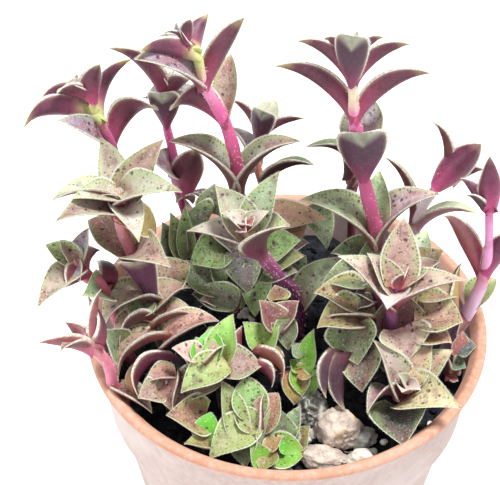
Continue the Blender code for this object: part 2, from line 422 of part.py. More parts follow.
def swollen(obj):
    """The object's mesh with every point moved out by the gap."""
    work = bmesh.new()
    work.from_mesh(obj.data)
    work.normal_update()
    for v in work.verts:
        v.co += v.normal * GAP / 1000
    mesh = bpy.data.meshes.new("swollen")
    work.to_mesh(mesh)
    work.free()
    return mesh


def finish_node(obj, colour):
    for poly in obj.data.polygons:
        poly.use_smooth = False
    material = bpy.data.materials.new(obj.name)
    material.use_nodes = True
    bsdf = material.node_tree.nodes["Principled BSDF"]
    bsdf.inputs["Base Color"].default_value = (*colour, 1.0)
    bsdf.inputs["Roughness"].default_value = 0.7
    obj.data.materials.clear()
    obj.data.materials.append(material)


def turned(name, profile, steps, collection):
    """A body turned from a profile of (radius, height) in millimetres, top to bottom on its outer side."""
    mesh = bpy.data.meshes.new(name)
    mesh.from_pydata([(r / 1000, 0, z / 1000) for r, z in profile], [(i, i + 1) for i in range(len(profile) - 1)], [])
    obj = add_object(name, mesh, collection)
    screw = obj.modifiers.new("turn", "SCREW")
    screw.steps = screw.render_steps = steps
    screw.use_merge_vertices = True
    screw.merge_threshold = 0.00001
    screw.use_normal_calculate = True
    obj.data = evaluated_mesh(obj)
    obj.modifiers.clear()
    if not closed(obj.data):
        obj.data.flip_normals()
    return obj


for old in list(bpy.data.objects):
    bpy.data.objects.remove(old)
plant = bpy.data.collections.new("potted_crassula")
cutters = bpy.data.collections.new("cutters")
bpy.context.scene.collection.children.link(plant)
bpy.context.scene.collection.children.link(cutters)
cutters.hide_render = True

# The pot and what fills it
INNER = [(28.0, FLOOR), (COLLAR_FOOT_RADIUS - STEP - WALL, COLLAR_FOOT_Z - 2.0), (COLLAR_FOOT_RADIUS - WALL, COLLAR_FOOT_Z + 2.0),
         (LIP_RADIUS - 3.6, POT_HEIGHT - 2.0), (LIP_RADIUS - 2.2, POT_HEIGHT - 0.3)]
pot = turned("pot", [(0, FLOOR)] + INNER + [
    (LIP_RADIUS - 1.8, POT_HEIGHT), (LIP_RADIUS - 0.5, POT_HEIGHT), (LIP_RADIUS, POT_HEIGHT - 0.5), (LIP_RADIUS, POT_HEIGHT - LIP_HEIGHT + 0.4),
    (LIP_RADIUS - 0.5, POT_HEIGHT - LIP_HEIGHT), (LIP_RADIUS - 2.1, POT_HEIGHT - LIP_HEIGHT - 0.3), (COLLAR_FOOT_RADIUS, COLLAR_FOOT_Z + 0.4),
    (COLLAR_FOOT_RADIUS - 0.4, COLLAR_FOOT_Z), (COLLAR_FOOT_RADIUS - STEP, COLLAR_FOOT_Z - 0.6), (BASE_RADIUS + 0.1, 0.8), (BASE_RADIUS - 0.8, 0), (0, 0)], 48, plant)
drains = []
for i in range(4):
    a = math.radians(45 + 90 * i)
    x, y = DRAIN_RING * math.cos(a), DRAIN_RING * math.sin(a)
    drains.append(add_object(f"drain_{i}", tube_mesh("drain", [np.array([x, y, -2.0]), np.array([x, y, FLOOR + 2])], [DRAIN_RADIUS] * 2, 16), cutters))
combine(pot, drains, "DIFFERENCE")
finish_node(pot, COLOURS["pot"])
soil = turned("soil", [(0, SOIL_TOP), (36.0, SOIL_TOP - 0.2), (COLLAR_FOOT_RADIUS - WALL + 0.3, SOIL_TOP - 0.9), (COLLAR_FOOT_RADIUS - WALL - 0.4, COLLAR_FOOT_Z + 2.0),
                       (COLLAR_FOOT_RADIUS - STEP - WALL - 0.4, COLLAR_FOOT_Z - 2.6), (27.5, FLOOR + 0.4), (0, FLOOR + 0.4)], 40, plant)
finish_node(soil, COLOURS["soil"])

fat_done = []  # (object, tree) of every piece that is already in place, a gap larger than the piece


def keep_fat(mesh):
    obj = add_object("fat", mesh, cutters)
    fat_done.append((obj, tree_of(obj)))


fat_pot = turned("fat_pot", [(COLLAR_FOOT_RADIUS - WALL - 0.45, 60.0), (COLLAR_FOOT_RADIUS - WALL - 0.3, COLLAR_FOOT_Z + 2.0), (LIP_RADIUS - 3.95, POT_HEIGHT - 2.0),
                             (LIP_RADIUS - 2.6, POT_HEIGHT), (LIP_RADIUS - 1.9, POT_HEIGHT + 0.35), (LIP_RADIUS - 0.4, POT_HEIGHT + 0.35), (LIP_RADIUS + 0.35, POT_HEIGHT - 0.2),
                             (LIP_RADIUS + 0.35, 60.0), (COLLAR_FOOT_RADIUS - WALL - 0.45, 60.0)], 48, cutters)
fat_done.append((fat_pot, tree_of(fat_pot)))
keep_fat(tube_mesh("fat_soil", [np.array([0, 0, 40.0]), np.array([0, 0, SOIL_TOP + 0.02])], [42.0, 42.0], 40, 0.3))

# Stones on the soil
for name, (middle, half, turn, seed) in STONES.items():
    for fat in (0.0, GAP):
        dice = random.Random(seed)
        work = bmesh.new()
        bmesh.ops.create_icosphere(work, subdivisions=2, radius=1.0)
        a = math.radians(turn)
        bumps = [(Vector((dice.uniform(-1, 1), dice.uniform(-1, 1), dice.uniform(-1, 1))).normalized(), dice.uniform(-0.22, 0.18)) for _ in range(7)]
        for v in work.verts:
            d = v.co.normalized()
            size = 1.0 + sum(h * max(0.0, d.dot(b)) ** 3 for b, h in bumps)
            x, y, z = (d.x * half[0] * size, d.y * half[1] * size, max(-0.8, d.z) * half[2] * size)
            x, y = x * math.cos(a) - y * math.sin(a), x * math.sin(a) + y * math.cos(a)
            p = Vector((x, y, z))
            p += p.normalized() * fat
            v.co = Vector((middle[0] + p.x, middle[1] + p.y, max(SOIL_TOP + GAP - fat, middle[2] + p.z))) / 1000
        mesh = bpy.data.meshes.new(name)
        work.to_mesh(mesh)
        work.free()
        if fat:
            keep_fat(mesh)
        else:
            stone = add_object(name, mesh, plant)
            touching = [o for o, tree in fat_done[2:] if tree.overlap(tree_of(stone))]
            wall = [o for o, tree in fat_done[:1] if tree.overlap(tree_of(stone))]
            if touching or wall:
                combine(stone, touching + wall, "DIFFERENCE")
                largest_body(stone.data)
            finish_node(stone, COLOURS[name])

# Stems
shoots = {**SHOOTS, **COLUMNS}
laid = {}
for name in ORDER:
    shoot = shoots[name]
    axis = [point(p) for p in shoot["axis"]]
    if axis[0][2] < SOIL_TOP + 2:
        axis[0] = np.array([axis[0][0], axis[0][1], SOIL_TOP + GAP])
    groups = list(shoot["groups"].items())
    top = len(axis) - 1
    if name in NO_STEM:
        cuts = [0.0, float(top)] if len(groups) == 1 else [0.0, 1.0, float(top)]
        laid[name] = (axis, 0.0, cuts)
        continue
    head = groups[-1][1] if len(groups) == 1 or not groups[0][0].endswith("head") else groups[0][1]
    low = min(row[0] for row in head if not isinstance(row[0], tuple))
    if name == "r" or name == "s":
        low = 0.85
    low = max(0.3, low - 0.12)
    laid[name] = (axis, low, None)
    ks = [k for k in range(top + 1) if k < low] + [low]
    points = [along(axis, k) for k in ks]
    radii = [float(np.interp(k, range(top + 1), shoot["rad"])) for k in ks]
    curve = bpy.data.curves.new(f"stem_{name}", "CURVE")
    curve.dimensions = "3D"
    curve.bevel_depth = 0.001
    curve.bevel_resolution = 1
    curve.use_fill_caps = True
    spline = curve.splines.new("POLY")
    spline.points.add(len(points) - 1)
    for at, p, r in zip(spline.points, points, radii):
        at.co = (*(float(x) / 1000 for x in p), 1.0)
        at.radius = r
    rod = add_object(f"rod_{name}", curve, cutters)
    mesh = evaluated_mesh(rod)
    work = bmesh.new()
    work.from_mesh(mesh)
    bmesh.ops.remove_doubles(work, verts=work.verts, dist=1e-6)
    bmesh.ops.triangulate(work, faces=work.faces)
    work.to_mesh(mesh)
    work.free()
    bpy.data.objects.remove(rod)
    stem = add_object(f"stem_{name}", mesh, plant)
    own = tree_of(stem)
    touching = [o for o, tree in fat_done if tree.overlap(own)]
    if touching:
        combine(stem, touching, "DIFFERENCE")
        largest_body(stem.data)
    finish_node(stem, (0.7, 0.35, 0.42))
    keep_fat(tube_mesh("fat", points, radii, 8, GAP + 0.12))

# Leaves, piece by piece
total = 0
placed = [(obj, tree_of(obj)) for obj in plant.objects]
for name in ORDER:
    shoot = shoots[name]
    axis, low, cuts = laid[name]
    top = len(axis) - 1
    spans = range(top + 1)
    groups = list(shoot["groups"].items())
    for number, (group, rows) in enumerate(reversed(groups) if name in NO_STEM else groups):
        pieces, fats = [], []

        def add(mesh, fat):
            pieces.append(add_object("piece", mesh, cutters))
            fats.append(fat)

        if cuts:
            a, b = cuts[number] + (0.06 if number else 0), cuts[number + 1]
            core_span = (a, b)
        elif group.endswith("head") or len(groups) == 1 or group == "r_head":
            core_span = (low + 0.35 / max(1.0, np.linalg.norm(along(axis, low + 0.5) - along(axis, low)) * 2), float(top))
        else:
            core_span = None
        if core_span:
            ks = [core_span[0]] + [k for k in spans if core_span[0] + 0.05 < k < core_span[1] - 0.05] + [core_span[1]]
            points = [along(axis, k) for k in ks]
            radii = [float(np.interp(k, spans, shoot["rad"])) for k in ks]
            add(tube_mesh("core", points, radii, 8), tube_mesh("fat", points, radii, 8, GAP))
        starts = []
        for row in rows:
            row, more = (row[:-1], row[-1]) if isinstance(row[-1], dict) else (row, {})
            if len(row) == 6:
                where, tip, width, arch, turn, kind = row
                k = nearest(axis, point(where)) if isinstance(where, tuple) else where
                start = point(where) if isinstance(where, tuple) else along(axis, k)
                tip = point(tip)
            else:
                k, px, py, length, near, width, arch, turn, kind = row
                where = k
                start = along(axis, k)
                tip = tip_at(start, px, py, length, near)
            direction = unit(along(axis, min(top, k + 0.3)) - along(axis, max(0, k - 0.3)))
            frame = leaf_frame(start, tip, direction, turn)
            strap, hook = more.get("strap", name in "acdefghi"), more.get("hook", name in COLUMNS)
            add(leaf_mesh("leaf", start, tip, frame, width, arch, kind, strap, hook), leaf_mesh("fat", start, tip, frame, width, arch, kind, strap, hook, GAP))
            if core_span is None:
                starts.append(k)
            elif isinstance(where, tuple):
                joint = along(axis, min(max(k, core_span[0]), core_span[1]))
                into = start + frame[0] * 1.2 - frame[1] * 0.6
                if np.linalg.norm(joint - start) > 0.8:
                    add(tube_mesh("foot", [joint, into], [1.0, 0.6], 5), tube_mesh("fat", [joint, into], [1.0, 0.6], 5, GAP))
            elif k < core_span[0] - 0.05:
                starts.append(k)
        if starts:
            lo, hi = min(starts), max(starts)
            if core_span is None:
                step = np.linalg.norm(along(axis, min(top, lo + 0.5)) - along(axis, max(0, lo - 0.5)))
                lo, hi = max(0.02, lo - 1.3 / step), min(top - 0.02, hi + 1.3 / step)
            else:
                hi = core_span[0] + 0.1
            ks = [lo] + [k for k in spans if lo + 0.05 < k < hi - 0.05] + [hi]
            points = [along(axis, k) for k in ks]
            radii = [float(np.interp(k, spans, shoot["rad"])) + 1.0 for k in ks]
            add(tube_mesh("sheath", points, radii, 8), tube_mesh("fat", points, radii, 8, GAP))
        node = pieces[0] if core_span else pieces[-1]
        node.name = f"leaves_{group}"
        combine(node, [p for p in pieces if p is not node], "UNION")
        for p in pieces:
            if p is not node:
                bpy.data.objects.remove(p)
        cutters.objects.unlink(node)
        plant.objects.link(node)
        lighten(node, 24 * len(rows) + 36)
        own = tree_of(node)
        touching = [o for o, tree in fat_done if tree.overlap(own)]
        if touching:
            combine(node, touching, "DIFFERENCE")
            largest_body(node.data)
        own = tree_of(node)
        meeting = [add_object("swollen", swollen(o), cutters) for o, tree in placed if o.name.startswith("leaves") and tree.overlap(own)]
        if meeting:
            print("cut again:", node.name, len(meeting))
            combine(node, meeting, "DIFFERENCE")
        lighten(node, 26 * len(rows) + 30, [tree for _, tree in placed])
        placed.append((node, tree_of(node)))
        if not closed(node.data):
            print("not closed:", group)
        total += len(node.data.polygons)
        print(group, len(rows), len(node.data.polygons), "cut by", len(touching))
        finish_node(node, (0.45, 0.5, 0.33))
        for fat in fats:
            keep_fat(fat)

print("leaf triangles", total)
for obj in list(cutters.objects):
    bpy.data.objects.remove(obj)
bpy.data.collections.remove(cutters)
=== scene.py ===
"""Crassula in a small clay pot: the leaves, stems, soil, stones and pot surfaces over the fixed frame. Metres; tables in millimetres."""

import math
import random

import bmesh
import bpy
import numpy as np
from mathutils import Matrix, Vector, noise


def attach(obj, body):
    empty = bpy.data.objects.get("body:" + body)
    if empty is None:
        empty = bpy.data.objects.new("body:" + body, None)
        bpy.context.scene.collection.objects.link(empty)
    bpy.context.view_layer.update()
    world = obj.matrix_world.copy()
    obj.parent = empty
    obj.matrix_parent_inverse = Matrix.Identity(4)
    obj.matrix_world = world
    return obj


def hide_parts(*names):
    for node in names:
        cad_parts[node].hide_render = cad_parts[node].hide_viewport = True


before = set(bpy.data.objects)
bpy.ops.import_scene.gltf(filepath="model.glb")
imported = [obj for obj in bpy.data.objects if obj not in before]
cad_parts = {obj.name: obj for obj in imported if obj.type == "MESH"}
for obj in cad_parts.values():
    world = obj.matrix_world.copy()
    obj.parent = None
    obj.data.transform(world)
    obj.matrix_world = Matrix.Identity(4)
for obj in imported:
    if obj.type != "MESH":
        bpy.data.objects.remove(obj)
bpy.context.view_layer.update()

# The camera, which is also the eye that the plant is laid out from, in millimetres
EYE = np.array([-8.3, -240.8, 320.7])
PITCH = math.radians(42.0)
SCALE, MID_X, MID_Y = 1506.0, 250.0, 242.5
FORWARD = np.array([0, math.cos(PITCH), -math.sin(PITCH)])
RIGHT = np.array([1.0, 0, 0])
UP = np.array([0, math.sin(PITCH), math.cos(PITCH)])
SOIL_TOP = 71.0

SHOOTS = {
"a": dict(axis=[("w",-30,11,71.5),(121,190,13),(112,146,14),(96,116,14),(91,98,14.5),(84,88,15)], rad=[1.3,1.15,1.1,1.0,0.9,0.6],
  groups={"a_pair":[(2.05,158,110,14.5,1,7,.33,-42,"purple"),(2.2,58,120,15,1,5.5,.06,50,"violetspot")],
          "a_head":[(3,23,129,18,1,6.4,.19,-38,"purplelime"),(2.9,131,59,15.5,-1,6,.13,-26,"purplelime"),
                    (4,100,64,10,1,5.2,.1,-58,"purple",dict(strap=False)),(4,37,107,12,1,4.6,.22,-42,"purple"),
                    (4.6,57,93,8,1,3.2,.1,-20,"purple"),(4.6,77,74,6.5,-1,3,.1,-20,"purple"),(4.8,66,84,5,1,3,.1,30,"grey"),(4.2,72,90,9,-1,5,.1,30,"grey")]}),
"b": dict(axis=[(155,301,-2),(144,278,-2),(132,254,-1),(121,226,-1),(119,203,-1),(119,192,-1)], rad=[1.5,1.4,1.35,1.3,1.1,0.6],
  groups={"b_base":[((154,300,-3),(133,262,-8),8.5,.0,-68,"fan"),(0.2,190,263,12.5,-1,10,.1,68,"leopard")],
          "b_pair":[(2,88,220,16,-1,9.5,.05,66,"barkleaf"),(2,170,267,14,1,9.5,.15,55,"tanpink")],
          "b_head":[(4,101,138,15,-1,7.5,.04,80,"lime",dict(fold=.5)),(4,182,192,16,1,8.5,.18,45,"lime"),(4,50,202,15,1,7,.2,28,"lime"),
                    (4.3,71,199,12,1,7,.14,45,"lime"),(3.6,55,222,17,1,8.5,.12,48,"olive"),(4,139,242,13,1,7,.1,66,"limepink"),
                    (3.8,164,139,17,-1,8.5,.06,68,"brown"),(4.6,101,196,6,1,3.4,.1,40,"limepink"),(4.6,132,183,6,-1,3.4,.1,50,"lime"),
                    (4.8,112,186,4.5,-1,2.6,.1,50,"lime"),(4.8,124,203,4.5,1,2.6,.1,60,"lime"),(3.5,156,236,12.5,-1,7.5,.08,60,"orangegreen")]}),
"c": dict(axis=[("w",-17,19,71.5),(178,190,21),(175,161,22),(166,122,22),(166,93,22),(168,80,22)], rad=[1.1,1.0,1.0,.95,.8,.5],
  groups={"c_pair":[(1.6,149,158,10,1,7,.05,50,"grey"),((185,190,20),(196,150,17),7.6,.04,-78,"purple",dict(strap=False))],
          "c_head":[((167,122,21),(161,93,17.5),7,-.05,-76,"heart"),(4,109,48,18,1,6.5,.08,-20,"purple"),(4,189,79,8,1,5,.1,-40,"purple"),
                    (3.9,186,84,8.5,-1,6,.1,60,"grey"),(3.9,148,97,7,-1,5,.1,40,"grey"),(4.6,158,72,4,1,2.6,.1,30,"lime"),(4.6,175,70,4,-1,2.6,.1,20,"lime")]}),
"d": dict(axis=[("w",-2,15,71.5),(246,212,12),(237,191,12),(236,160,12),(224,120,12.5),(204,85,13),(197,55,13.5),(186,40,14)], rad=[1.6,1.55,1.45,1.4,1.35,1.2,.95,.5],
  groups={"d_pair1":[(2,169,141,20,1,9,.14,27,"greenmauve"),(2,300,141,19,1,9,.14,22,"greenmauve")],
          "d_pair2":[(4,170,110,13.5,1,7.4,.29,-42,"purple"),(4.1,231,54,15,-1,6.0,-.06,66,"brown")],
          "d_head":[(5,134,59,17,1,7.5,.12,42,"violetspot"),(5,244,18,17,1,5,.1,-60,"purple"),(6,141,50,13,1,5,.1,-52,"purplelime"),
                    (6.2,208,14,9.5,-1,5,.14,-58,"purplelime"),(6.9,190,19,5.5,1,2.8,.08,-70,"purple"),(6.8,165,32,4.5,1,2.4,.1,-30,"purple"),
                    (6.6,156,38,6.5,1,3,.1,-30,"purple"),(6.5,176,22,6,-1,3,.1,40,"grey")]}),
"e": dict(axis=[("w",2,27,71.5),(258,170,29),(258,150,30),(259,139,30),(262,124,30)], rad=[1.0,.95,.9,.85,.5],
  groups={"e_pair":[(1,230,127,11,-1,5.5,.1,35,"grey"),(0.9,314,165,14,1,6,.12,5,"dark")],
          "e_head":[((259,140,29),(263,111,26),5.8,-.05,-74,"heart"),(3.6,275,100,8,-1,6,.0,70,"pale"),(3.5,231,100,8.5,1,3.4,.1,-12,"purple"),
                    (3.4,305,119,10.5,1,3.4,.1,-12,"purple"),(3.8,280,116,5,-1,2.6,.1,10,"dark")]}),
"f": dict(axis=[("w",20,9,71.5),(376,246,8),(374,222,8.5),(364,180,10),(357,135,11),(354,112,11.5),(353,82,12),(353,60,12),(353,46,12)], rad=[1.7,1.7,1.6,1.5,1.45,1.25,.98,.8,.5],
  groups={"f_pair1":[(1,300,200,20.5,1,10,.17,38,"greenbrown"),(1,439,194,19,1,9.5,.17,35,"mauve"),(1.3,380,171,12.5,-1,7.4,.05,72,"green")],
          "f_pair2":[(3.1,362,133,13,1,11,-.04,-88,"heart"),(3.6,370,97,13,-1,9.5,.05,75,"greyspot")],
          "f_pair3":[(4.8,275,66,20,1,5.4,.14,-42,"purple"),(4.8,431,73,19,1,5.4,.14,-40,"purple")],
          "f_head":[((353,81,11),(352,36,7.5),7.2,-.04,-76,"heart"),(6.1,297,41,13.5,1,4.3,.12,-40,"purple"),(6.1,410,44,13.5,1,4.3,.12,-40,"purple"),
                    (7,322,39,8.5,-1,3.4,.1,-25,"purple"),(7,383,37,8.5,-1,3.4,.1,-25,"purple"),(7.4,355,33,6.5,-1,4.4,.05,50,"pale"),(6.4,358,42,10,-1,6,.05,50,"grey")]}),
"g": dict(axis=[("w",16,18,71.5),(352,196,20),(352,184,20),(350,170,20)], rad=[1.2,1.1,1.0,.7],
  groups={"g_head":[(2,305,147,15,1,6,.3,2,"dark"),(2.6,341,150,8,1,5,.05,-10,"dark"),(2,372,160,12,-1,6,.1,40,"grey")]}),
"h": dict(axis=[("w",28,14,71.5),(414,228,15),(436,187,16),(441,172,16.5)], rad=[1.2,1.1,1.0,.6],
  groups={"h_head":[(2,481,144,15,1,6.8,.04,-84,"magenta"),((447,172,19),(433,122,20),3.4,.1,-20,"redbrown"),((452,181,18),(485,170,17),3,.1,-20,"magenta")],
          "h_pair":[(1.05,477,214,15,1,5.2,.13,14,"palegreen"),(1.1,385,157,15,-1,5.5,.1,5,"redbrown")]}),
"i": dict(axis=[("w",36,-1,71.5),(474,301,-2),(485,272,-2),(489,240,-1.5),(489,200,-1)], rad=[1.5,1.6,1.25,.9,.85],
  groups={"i_pair":[((483,275,0),(442,217,-8),4.7,.08,-62,"red",dict(strap=False)),(2,512,232,12,1,5.6,.05,-60,"magenta")],
          "i_low":[(0.9,496,279,8.5,-1,7,.1,62,"yellowgreen"),(0.7,460,322,8,1,6.5,.15,-70,"orange")],
          "i_head":[(3.75,490,156,12.5,1,5.2,.04,-84,"magenta",dict(strap=False)),(3.8,460,178,8,-1,3.6,.1,-60,"magenta",dict(strap=False)),(3.75,466,195,6.5,1,2.4,.05,-20,"dark"),(3.8,508,180,8,-1,4.2,.1,-30,"magenta",dict(strap=False))]}),
"k": dict(axis=[("w",20,-3,93),(391,330,-9),(392,309,-9.5),(397,290,-10),(400,280,-10)], rad=[1.8,1.6,1.3,1.1,.7],
  groups={"k_head":[(3,404,217,16,-1,9,.04,78,"tanpink"),(2.2,338,256,17,1,9.5,.1,44,"pinkgreen"),(2.8,367,253,11,1,6.5,.05,60,"pinkgreen"),
                    (2.2,465,280,18,1,9.5,.12,34,"pinkgreen"),(2.9,387,309,8.5,1,7,.0,60,"whitepink"),(3.3,412,264,6,-1,3.4,.05,30,"red"),
                    (3.4,404,274,4.5,1,3.4,.05,-30,"red"),(3.2,440,262,12,-1,7,.1,50,"tanpink"),
                    ((397,337,-8),(399,290,-5),12.5,.0,84,"wine",dict(strap=True)),((397,329,-12),(410,359,-18),12.5,.1,66,"pinkgreen",dict(hook=True))]}),
"l": dict(axis=[("w",26,-22,71.5),(402,404,-22),(406,388,-22.5),(409,379,-23)], rad=[1.7,1.6,1.3,.7],
  groups={"l_head":[((399,396,-23),(373,340,-17),8.5,.1,44,"greydots"),(1.8,453,350,14,-1,8.5,.05,65,"yellowspot"),(2,432,345,11,-1,8,.05,72,"yellowspot"),
                    (1.3,461,408,16,1,10.5,.12,62,"yellowspot"),(1.3,367,413,12,1,7,.25,12,"mauve"),
                    (2,402,392,6.5,1,5,.0,60,"limepink"),(2.4,398,374,5,1,3,.0,50,"lime"),(2.5,416,380,5,-1,3,.0,60,"limepink"),(2.3,421,390,6,1,3.4,0,60,"whitepink"),
                    (0.9,404,446,14,1,13,.08,80,"darkspot",dict(strap=True))]}),
"u": dict(axis=[("w",2.4,4,71.5),(299,300,6),(280,276,3),(259,252,0),(249,236,-1),(244,222,-1.5)], rad=[1.6,1.5,1.5,1.5,1.3,.6],
  groups={"u_pair":[(3.1,290,226,14,1,11,.12,8,"mauvegreen"),(3.3,187,231,15,1,7.4,.12,40,"limepink")],
          "u_head":[(4,215,185,13,-1,8.2,.04,75,"lime"),(4,280,171,15,-1,7.4,.05,72,"greenbrown"),(4.6,221,213,6.5,1,4.4,.1,50,"limepink"),
                    (4.6,269,211,6.5,1,4.2,.1,55,"limepink"),(4.8,246,232,5,1,3.6,.05,40,"red"),(4.8,256,209,5,-1,3,.05,60,"limepink"),(4.9,236,212,4.5,-1,3,.05,60,"lime"),(4.9,252,226,5.5,1,3.6,0,40,"red")]}),
"r": dict(axis=[("w",-35,-4,71.5),(104,290,-5),(86,277,-6),(77,266,-6.5),(74,259,-6.5)], rad=[1.3,1.3,1.2,1.0,.6],
  groups={"r_head":[(2.7,37,308,14,1,7,.12,55,"olive"),(3,45,245,9,-1,6,.08,60,"yellowgreen"),(3.4,60,240,7,-1,4.4,.05,60,"olive"),
                    (3,89,228,10.5,-1,5,.05,50,"grey"),(3.4,80,281,5.5,1,3.4,0,60,"grey"),(2.4,100,250,10,-1,5.5,.1,-10,"redbrown"),(2.4,68,286,9,1,5.5,.1,-40,"red"),
                    (1,82,296,11,1,8,.05,72,"green"),(1,96,261,11,-1,5.5,-.3,-30,"violet")]}),
"s": dict(axis=[("w",-36,-16,71.5),(113,384,-19),(108,364,-20),(91,346,-21),(84,339,-21)], rad=[1.3,1.3,1.3,1.3,.7],
  groups={"s_head":[(3,37,343,12.5,1,4.8,.04,-18,"pink"),(3,88,296,12,-1,5.6,-.2,12,"purplegrey"),(3.6,65,322,6,1,3.4,.05,-60,"red"),
                    (2.9,101,289,12.5,-1,4.6,.05,-10,"pinkbrown"),(3.4,60,352,8,1,4,.1,20,"olive"),(.9,(152,413,-27),6,.06,42,"olive")]}),
}

